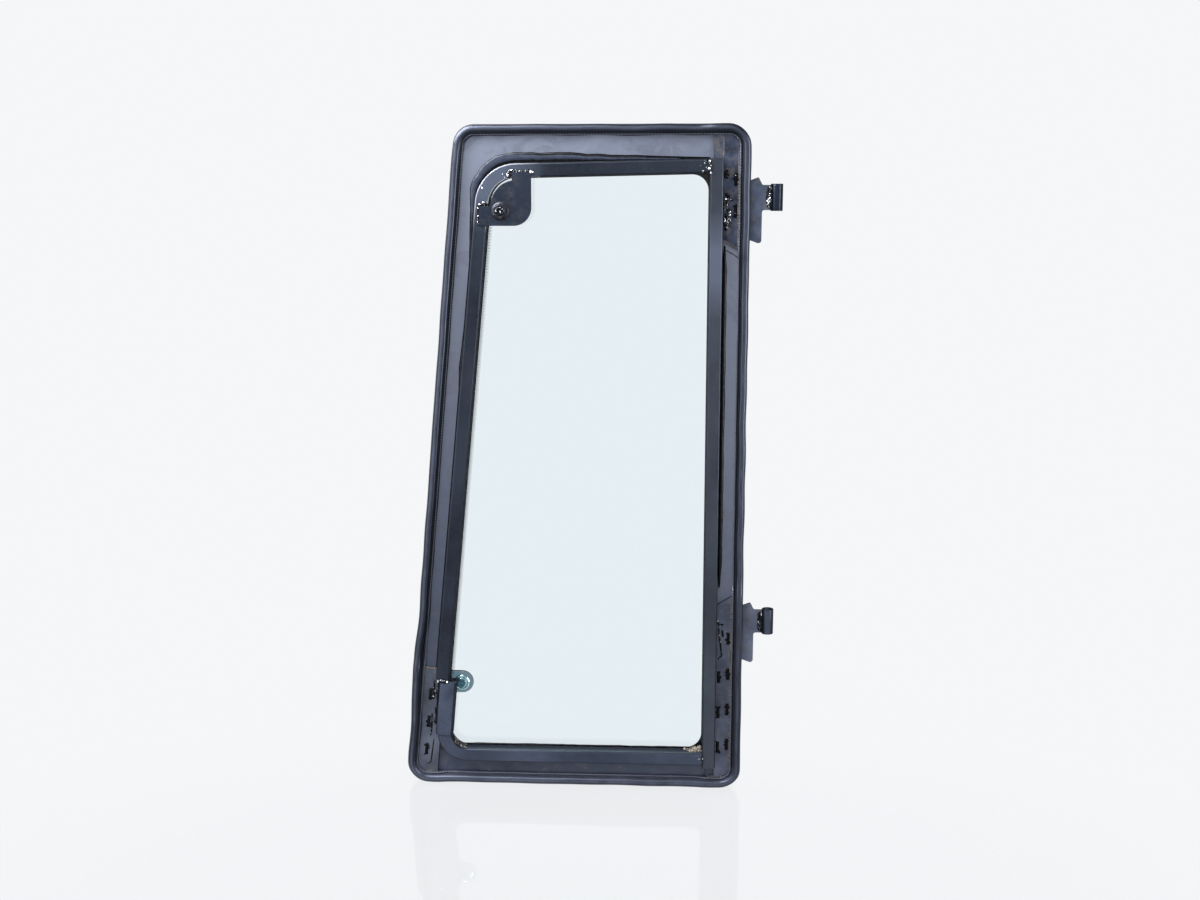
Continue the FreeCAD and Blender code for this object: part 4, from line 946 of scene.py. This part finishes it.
class CABWINDOW_OT_adhesive(bpy.types.Operator):
    """Adhesive films, and the adhesive pressed out beside the tubes and through the slots."""
    bl_idname = "cabwindow.adhesive"
    bl_label = "Adhesive"

    def execute(self, context):
        rng = random.Random(11)
        dress(adhesive_material("polyurethane_film"), "upper_plate_bond", "lower_plate_bond", "corner_plate_bond",
              "strip_bond", "channel_bond", "post_bond", "bottom_tube_bond")
        dress(adhesive_material("polyurethane_under_tube"), "bent_tube_bond")
        self.squeezed_out(rng)
        self.beads(rng)
        self.slot_fill(rng)
        return {"FINISHED"}

    def squeezed_out(self, rng):
        """Rounded bead of adhesive beside the bent tube, broad round the bend and thin along the rails."""
        rail_up, rail_side = outward(RAIL_LEFT), outward(LATCH_RAIL_DOWN)
        turn = rail_up.angle(rail_side)
        reach = BEND_AXIS_RADIUS + TUBE_HALF
        along_top = (POST_LOW.x - 1.5 * MM - BEND_CENTRE.x) / -RAIL_LEFT.x
        along_side = (LATCH_RAIL_END - BEND_CENTRE).dot(LATCH_RAIL_DOWN) - 12 * MM
        # Half widths in millimetres: at the post, at both ends of the bend, and least on the latch rail
        at_post, bend_start, bend_end, least = 1.2, 8.2, 4.8, 1.5
        # The broad spot on the latch rail: how much broader, how far down it is and how far it reaches
        broader, broad_at, broad_reach = 1.4, 215 * MM, 45 * MM
        run_per_thinning, tallest = 26, 3.6 * MM
        top_steps, bend_steps, side_steps = 24, 18, 60
        marks = []
        for step in range(top_steps):
            left = 1 - step / top_steps
            marks.append((BEND_CENTRE - RAIL_LEFT * along_top * left, rail_up, RAIL_LEFT,
                          bend_start - (bend_start - at_post) * left))
        for step in range(bend_steps):
            share = step / bend_steps
            swing = Matrix.Rotation(-turn * share, 3, "Y")
            marks.append((BEND_CENTRE, swing @ rail_up, swing @ RAIL_LEFT,
                          bend_start - (bend_start - bend_end) * share ** 2))
        for step in range(side_steps + 1):
            down = along_side * step / side_steps
            broad = broader * math.exp(-((down - broad_at) / broad_reach) ** 2)
            marks.append((BEND_CENTRE + LATCH_RAIL_DOWN * down, rail_side, LATCH_RAIL_DOWN,
                          max(least, bend_end - down / MM / run_per_thinning) + broad))
        stations, swell = [], 1.0
        for foot, out, way, half in marks:
            swell += (rng.uniform(0.86, 1.14) - swell) * 0.5
            half_width = half * swell * MM
            centre = foot + out * (reach + half_width)
            stations.append((Vector((centre.x, PRINT_FACE, centre.z)), way, TO_CAB - out * 0.4, half_width,
                             min(tallest, half_width * 1.2)))
        bm = bmesh.new()
        swept_bead(bm, stations, sides=20)
        lustre = adhesive_material("polyurethane_lustre", 0.9, 0.06, dark_right_of=BEND_CENTRE.x)
        piece("squeezed_out_adhesive", bm, lustre, seat=PRINT_FACE)

    def beads(self, rng):
        """Dark wavy edges of the adhesive along the post, the bottom tube, the channel and the plates."""
        level, beside_post = PRINT_FACE / MM - 1.2, POST_HIGH.x / MM + 3.0
        gap = [latch_point(32.8 * MM, station * MM, -0.6 * MM) for station in (84, 120, 150)]
        # Each run with its half width, height and roughness, and the step between its lumps in millimetres
        runs = [
            ([at(beside_post, level, 530), at(beside_post, level, 64)], 3.6, 2.2, 0.2, 16),
            ([at(-425, 0.6, -189.3), at(-92, 0.6, -189.3)], 1.3, 1.6, 0.5, 8),
            ([at(-420, 0.6, -169.6), at(-94, 0.6, -169.6)], 1.2, 1.4, 0.4, 8),
            # The bead in the gap beside the channel is black adhesive, and stands also as the shade in that gap.
            (gap, 3.0, 2.0, 0.5, 2.2),
            ([at(-68, 2.0, 525.5), at(-57, 2.0, 519.5), at(-46, 2.0, 512)], 0.6, 0.5, 0.35, 2.2),
            ([at(-321.5, -0.6, 646), at(-319.5, -0.7, 640)], 0.7, 0.6, 0.35, 2.2),
            ([at(-467, -1.4, -162), at(-472, -1.4, -197), at(-475, -1.4, -200), at(-480, -1.4, -200)],
             0.9, 0.5, 0.35, 2.2),
        ]
        bm = bmesh.new()
        for points, half_width, height, rough, step in runs:
            swept_bead(bm, lumpy_stations(points, rng, half_width * MM, height * MM, rough, step * MM))
        piece("adhesive_beads", bm, adhesive_material("polyurethane_bead"), seat=PRINT_FACE)

    def slot_fill(self, rng):
        """Adhesive that came up through the slots and spread a little over the plates."""
        bm = bmesh.new()
        slots = [(at(-53.5, 0, 615.5), UP, 17), (at(-53.5, 0, 574.5), UP, 17), (at(-66, 0, 622), UP, 11.5)]
        slots += [(at(-53.5, 0, -8.5 - 51.5 * k), UP, 17) for k in range(4)]
        slots += [(at(-66, 0, -64.5 - 51.5 * k), UP, 17) for k in range(3)]
        slots += [(latch_point(22 * MM, (47 + 41 * k) * MM), LATCH_UP, 17) for k in range(3)]
        for centre, way, length in slots:
            middle = Vector((centre.x, PLATE_FACE + 0.5 * MM, centre.z))
            reach = way * (length / 2 - 0.6) * MM
            swept_bead(bm, lumpy_stations([middle - reach, middle + reach], rng, 2.3 * MM, 0.9 * MM, 0.5))
            for _ in range(6):
                side = RIGHT * rng.choice((-1, 1)) * rng.uniform(1.4, 3.0) * MM
                side += way * rng.uniform(-0.5, 0.5) * length * MM
                droplet(bm, middle + side + TO_CAB * 0.4 * MM, rng.uniform(0.9, 1.9) * MM, rng, 0.45)
        piece("slot_adhesive", bm, adhesive_material("polyurethane_in_slots"))


class CABWINDOW_OT_fasteners(bpy.types.Operator):
    """Flange nut and stud on the gusset; cup washer, screw and nut of the catch."""
    bl_idname = "cabwindow.fasteners"
    bl_label = "Fasteners"

    def execute(self, context):
        dress(plated_material("dull_zinc", linear("#56818d"), linear("#2b444c"), 0.3), "catch_screw", "catch_nut")
        self.cup(self.ring_shaded(plated_material("ring_shaded_zinc", finish().zinc, linear("#7aa5b1"), 0.22)))
        self.flange_nut(paint_material("dusty_nut_paint", linear("#2f2f35"), dust=0.8, gloss=0.28, patch_mm=12))
        self.stud_end(weld_material("worn_stud_steel", 0.6))
        return {"FINISHED"}

    def ring_shaded(self, material):
        """Painted shade that darkens the zinc in rings: in the groove of the cup and round the screw head."""
        tree = material.node_tree
        shader = tree.nodes["Principled BSDF"]
        place = add_node(tree, "TexCoord")
        away = add_node(tree, "VectorMath", {0: (place, "Object"), 1: CUP_CENTRE}, operation="DISTANCE")
        reach = add_node(tree, "Math", {0: (away, "Value"), 1: CUP_RIM}, operation="DIVIDE")
        rings = add_node(tree, "ValToRGB", {"Fac": reach})
        stops = rings.color_ramp.elements
        stops[0].position, stops[0].color, stops[1].color = 0.4, (0.06, 0.06, 0.06, 1), (0.5, 0.5, 0.5, 1)
        for position, level in ((0.46, 0.9), (0.58, 1.0), (0.66, 0.2), (0.72, 0.9), (0.88, 1.0), (0.95, 0.7)):
            stops.new(position).color = (level, level, level, 1)
        plain = shader.inputs["Base Color"].links[0].from_node
        shown = add_node(tree, "Mix", {0: 1.0, 6: (plain, 2), 7: rings}, data_type="RGBA", blend_type="MULTIPLY")
        wire(tree, shader, {"Base Color": (shown, 2)})
        return material

    def cup(self, zinc):
        """Dished washer with rolled rings round the screw head."""
        rim, foot, crown, bore = CUP_RIM, CUP_HIGH.y, CUP_LOW.y, 3.3 * MM
        # The rolled rings in millimetres: in from the rim, and up from the foot
        rings = [(0.0, 0.7), (0.5, 1.3), (1.6, 1.9), (2.6, 1.7), (3.2, 1.1), (3.8, 1.2)]
        bm = bmesh.new()
        turned_profile(bm, CUP_CENTRE, [
            (bore, foot), (rim, foot), *((rim - inset * MM, foot - rise * MM) for inset, rise in rings),
            (rim - 4.6 * MM, crown + 0.05 * MM), (rim - 5.4 * MM, crown), (bore, crown), (bore, foot)])
        bmesh.ops.remove_doubles(bm, verts=bm.verts, dist=1e-6)
        piece("rolled_cup_washer", bm, zinc, replaced=("catch_cup",))

    def flange_nut(self, material):
        """Hexagon nut with chamfered corners on a sloping flange."""
        centre = (NUT_LOW + NUT_HIGH) / 2
        seat, top = NUT_HIGH.y, NUT_LOW.y
        flange, bore = (NUT_HIGH.x - NUT_LOW.x) / 2, 6.05 * MM
        across_flats, sunk = 18 * MM, 2.0 * MM
        bm = bmesh.new()
        turned_profile(bm, centre, [
            (bore, seat), (flange, seat), (flange, seat - 1.0 * MM), (flange - 0.4 * MM, seat - 1.5 * MM),
            (flange - 2.2 * MM, seat - 2.4 * MM), (bore, seat - 2.6 * MM), (bore, seat)])
        bmesh.ops.remove_doubles(bm, verts=bm.verts, dist=1e-6)
        flat = Matrix.Translation((centre.x, seat - sunk, centre.z)) @ Matrix.Rotation(math.pi / 2, 4, "X")
        ring = bmesh.ops.create_circle(bm, cap_ends=True, radius=across_flats / math.sqrt(3), segments=6, matrix=flat)
        hexagon = ring["verts"][0].link_faces[0]
        raised = new_parts(bmesh.ops.extrude_face_region(bm, geom=[hexagon])["geom"], bmesh.types.BMVert)
        bmesh.ops.translate(bm, vec=Vector((0, top - seat + sunk, 0)), verts=raised)
        crown_edges = [edge for edge in bm.edges if all(vert in raised for vert in edge.verts)]
        bmesh.ops.bevel(bm, geom=crown_edges, affect="EDGES", offset=1.2 * MM, offset_type="OFFSET",
                        segments=2, profile=0.5, material=-1)
        piece("flange_nut", bm, material, smooth=False, replaced=("gusset_nut",))

    def stud_end(self, material):
        """End of the threaded stud, with its last turns of thread and a worn centre."""
        centre = (STUD_LOW + STUD_HIGH) / 2
        radius, end, back, pitch = (STUD_HIGH.x - STUD_LOW.x) / 2, STUD_LOW.y, STUD_HIGH.y, sizes().thread_pitch
        core, middle = radius - 0.9 * MM, 0.3 * MM
        points = [(middle, end + 0.5 * MM), (2.4 * MM, end + 0.3 * MM), (3.0 * MM, end), (radius - 1.4 * MM, end)]
        depth = end + 0.6 * MM
        while depth + pitch < back:
            points += [(radius, depth), (core, depth + pitch / 2)]
            depth += pitch
        points += [(core, back), (middle, back)]
        bm = bmesh.new()
        turned_profile(bm, centre, points, 32)
        bmesh.ops.holes_fill(bm, edges=open_edges(bm), sides=64)
        piece("threaded_stud", bm, material, replaced=("gusset_stud",))


class CABWINDOW_OT_welds(bpy.types.Operator):
    """Weld beads where the steel pieces meet, with bare crests and spatter."""
    bl_idname = "cabwindow.welds"
    bl_label = "Welds"

    def execute(self, context):
        rng = random.Random(7)
        upper, lower = self.hinge_runs()
        for name, runs, bare_from in (("frame_welds", self.frame_runs(), 0.59), ("upper_hinge_welds", upper, 0.57),
                                      ("lower_hinge_welds", lower, 0.63)):
            bm = bmesh.new()
            for points, up, scale in runs:
                swept_bead(bm, weld_stations(points, up, rng, sizes().bead_width * scale))
            piece(name, bm, weld_material(name.replace("welds", "weld_metal"), bare_from))
        self.spatter(rng)
        return {"FINISHED"}

    def frame_runs(self):
        """Beads of the tube frame and the gusset: points, the way each bead faces, and its size."""
        lap, mid = -20.3, -19.8
        plate = PLATE_FACE / MM - 0.4
        return [
            ([at(-353, lap, 621), at(-347, lap, 627), at(-338, lap, 625.6), at(-329, lap, 625.6),
              at(-320, lap, 626.6)], TO_CAB + UP, 1.0),
            ([at(-352, mid, 618), at(-345, mid, 621)], TO_CAB + UP, 1.1),
            ([at(-390, lap, 585), at(-389.6, lap, 571), at(-390.2, lap, 556)], TO_CAB - RIGHT, 0.9),
            ([at(-390, lap, 582.5), at(-383, lap, 583.5), at(-376, lap, 583)], TO_CAB + UP, 1.0),
            ([at(-87.2, mid, 640.5), at(-87.6, mid, 631), at(-87.2, mid, 623)], TO_CAB - RIGHT, 1.0),
            ([at(-96, mid + 0.8, 638.5), at(-90, mid, 640)], TO_CAB + UP, 0.7),
            ([at(-87.6, mid, -172), at(-87.6, mid, -187)], TO_CAB - RIGHT, 0.6),
            ([at(-460.5, -20.5, -71.6), at(-454, -20.8, -70), at(-446, -21, -71.4), at(-441, -21, -72.4)],
             TO_CAB + UP, 1.15),
            ([at(-464.5, plate, -76), at(-465.5, plate, -90), at(-466.5, plate, -104)], TO_CAB - RIGHT, 0.7),
            ([at(-469, plate, -125), at(-470, plate, -145), at(-472, plate, -158)], TO_CAB - RIGHT, 0.45),
            ([latch_point(40 * MM, CHANNEL_FOOT, -20 * MM), latch_point(56 * MM, CHANNEL_FOOT, -20 * MM)],
             TO_CAB - UP, 0.4),
        ]

    def hinge_runs(self):
        """Beads on the hinge plates and round the necks of the barrels."""
        plate = PLATE_FACE / MM - 0.4
        upper = [
            ([at(-68, plate, 599), at(-63, plate, 594), at(-58, plate, 588)], TO_CAB, 0.9),
            ([at(-65, plate, 592), at(-64, plate, 580), at(-61, plate, 570)], TO_CAB, 0.9),
            ([at(-60, plate, 578), at(-61.5, plate, 566), at(-60, plate, 556)], TO_CAB, 0.8),
            ([at(-66, plate, 572), at(-63, plate, 558), at(-67, plate, 549)], TO_CAB, 1.1),
            ([at(-68.6, plate - 1, 591), at(-67.8, plate - 1, 576)], TO_CAB, 0.8),
            ([at(-68.4, plate - 1, 568), at(-68, plate - 1, 556)], TO_CAB, 0.8),
        ]
        lower = [
            ([at(-69, plate, 17), at(-66, plate, 11), at(-60, plate, 12)], TO_CAB, 0.7),
            ([at(-67, plate, 7), at(-65, plate, -10), at(-62, plate, -33), at(-67, plate, -39)], TO_CAB, 0.5),
            ([at(-62, plate, 4), at(-60.5, plate, -6)], TO_CAB, 0.6),
        ]
        for runs, low in ((lower, 0.0), (upper, 575.0)):
            for side in (-1, 1):
                face = Vector((-0.5, side, 0))
                runs.append(([at(-8.6, side * 2.4, low + 2.5), at(-8.6, side * 2.4, low + 32.5)], face, 1.1))
                runs.append(([at(-11.5, side * 1.7, low + 4), at(-12.2, side * 1.6, low + 17),
                              at(-11.5, side * 1.7, low + 31)], face, 0.9))
        return upper, lower

    def spatter(self, rng):
        """Bright drops of weld metal that froze beside the beads."""
        bm = bmesh.new()
        plate, tube = PLATE_FACE / MM - 0.3, TUBE_FACE / MM - 0.2
        # Place and radius of each drop in millimetres
        drops = [
            (-319.3, tube - 2.6, 625, 2.0), (-377.5, tube - 2, 585.5, 1.3), (-382.5, tube - 1.6, 586.3, 1.5),
            (-390.8, tube - 1.4, 561.5, 1.2), (-350, tube - 1.6, 621, 1.4), (-358, tube, 622, 0.8),
            (-384.5, tube, 604.7, 1.3), (-354.8, tube, 618, 0.8), (-442.9, tube - 2.4, -72, 1.8),
            (-453.2, tube - 2.4, -69.4, 1.2), (-463.4, plate - 1.4, -91.8, 1.4), (-468.6, plate - 0.8, -134.4, 1.1),
            (-471.5, plate - 0.6, -151.5, 1.1), (-67.4, plate - 1.6, 590.5, 1.7), (-68.4, plate - 1.2, 561.5, 1.2),
            (-54, plate + 0.4, 621, 1.2), (-54, plate + 0.4, 572, 1.0), (-68.8, plate - 0.8, 16.5, 1.3),
            (-64.5, plate - 0.6, 10.5, 1.0), (-61, plate - 0.4, 11.5, 0.8), (-88.5, tube - 1.4, 638.5, 1.5),
            (-89, tube - 1.6, 629, 1.6), (-86.5, tube - 1.6, 624, 1.4), (-93, tube - 0.4, 630, 1.1),
            (-97, tube, 626, 0.7), (-100, tube, 633, 0.6), (-95, tube, 636, 0.7), (-315, tube, 620, 0.6),
            (-310, tube, 618.5, 0.5), (-92, tube - 1, -178, 0.9),
        ]
        for x, y, z, radius in drops:
            droplet(bm, at(x, y, z), radius * MM, rng, 0.8)
        piece("weld_spatter", bm, weld_material("bare_spatter_steel", 0.48))


class CABWINDOW_OT_dirt(bpy.types.Operator):
    """Dirt in the sill corner, and dusty sealant along the edges of the plates."""
    bl_idname = "cabwindow.dirt"
    bl_label = "Dirt and sealant"

    def execute(self, context):
        rng = random.Random(3)
        self.crumbs(rng)
        self.sealant(rng)
        return {"FINISHED"}

    def crumbs(self, rng):
        """Crumbs heaped on the bottom tube against the post and in the bend on the latch side."""
        bm = bmesh.new()
        beside_post, tube_top = -89.5, -170.4
        bend_x, bend_z, bend_radius = -417, -147, 23.4
        for _ in range(110):
            run = abs(rng.gauss(0, 10))
            depth, heap = rng.uniform(-13, -2), rng.uniform(0.2, 5.0) * max(0.1, 1 - run / 16)
            droplet(bm, at(beside_post - run, depth, tube_top + heap), rng.uniform(0.7, 2.1) * MM, rng)
        for _ in range(24):
            turn = math.radians(rng.uniform(215, 265))
            spot = at(bend_x + bend_radius * math.cos(turn), rng.uniform(-15, -3),
                      bend_z + bend_radius * math.sin(turn))
            droplet(bm, spot, rng.uniform(0.5, 1.2) * MM, rng)
        piece("sill_crumbs", bm, dirt_material("dry_soil", "#544a41", "#cdbfa8"), smooth=False)

    def sealant(self, rng):
        """Thin dusty lines where the plates end; the pale one on the lower edge of the upper hinge plate is a painted
        highlight of that edge.
        """
        bm = bmesh.new()
        face = PLATE_FACE / MM
        # Each line with its half width and height in millimetres
        lines = [
            ([at(-486, face + 2, -57.5), at(-466, face + 2, -59.3), at(-450, face + 2, -60.8)], 1.5, 2.2),
            ([at(-70, face, 645), at(-70, face, 672)], 0.8, 0.35),
            # This pale line on the lower edge of the upper hinge plate is a painted highlight of the edge.
            ([at(-69, face, 537.4), at(-58, face, 530.8), at(-46, face, 523.2)], 0.8, 0.6),
            ([at(-70, face, -194), at(-70, face, -211)], 0.7, 0.3),
            ([at(-50, face, 524), at(-50, face, 560), at(-50, face, 600), at(-50, face, 655)], 0.9, 0.25),
            ([at(-50, face, 52), at(-50, face, -60), at(-50, face, -195)], 0.8, 0.25),
            ([at(-484, face, -211.2), at(-468, face, -211.2)], 1.1, 0.3),
            ([at(-80, face, -211.2), at(-55, face, -211.2)], 0.9, 0.3),
        ]
        for points, half_width, height in lines:
            swept_bead(bm, lumpy_stations(points, rng, half_width * MM, height * MM, 0.4))
        piece("dusty_sealant", bm, dirt_material("dusty_sealant", "#55504c", "#8a7f74"))


class CABWINDOW_PT_sidebar(bpy.types.Panel):
    """Steps that dress the window, with its colours and sizes."""
    bl_idname = "CABWINDOW_PT_sidebar"
    bl_label = "Cab side window"
    bl_space_type = "VIEW_3D"
    bl_region_type = "UI"
    bl_category = "Window"

    def draw(self, context):
        layout = self.layout
        for operator in OPERATORS:
            layout.operator(operator.bl_idname)
        for group in (finish(), sizes()):
            for name in group.__annotations__:
                layout.prop(group, name)


OPERATORS = (CABWINDOW_OT_stage, CABWINDOW_OT_glass, CABWINDOW_OT_steel, CABWINDOW_OT_seal,
             CABWINDOW_OT_adhesive, CABWINDOW_OT_fasteners, CABWINDOW_OT_welds, CABWINDOW_OT_dirt)
CLASSES = (WindowFinish, WindowSizes, *OPERATORS, CABWINDOW_PT_sidebar)


def register():
    for cls in CLASSES:
        bpy.utils.register_class(cls)
    bpy.types.Scene.cab_window_finish = bpy.props.PointerProperty(type=WindowFinish)
    bpy.types.Scene.cab_window_sizes = bpy.props.PointerProperty(type=WindowSizes)


def unregister():
    del bpy.types.Scene.cab_window_sizes
    del bpy.types.Scene.cab_window_finish
    for cls in reversed(CLASSES):
        bpy.utils.unregister_class(cls)


def main():
    register()
    bpy.ops.cabwindow.stage()
    bpy.ops.cabwindow.glass()
    bpy.ops.cabwindow.steel()
    bpy.ops.cabwindow.seal()
    bpy.ops.cabwindow.adhesive()
    bpy.ops.cabwindow.fasteners()
    bpy.ops.cabwindow.welds()
    bpy.ops.cabwindow.dirt()


if __name__ == "__main__":
    main()
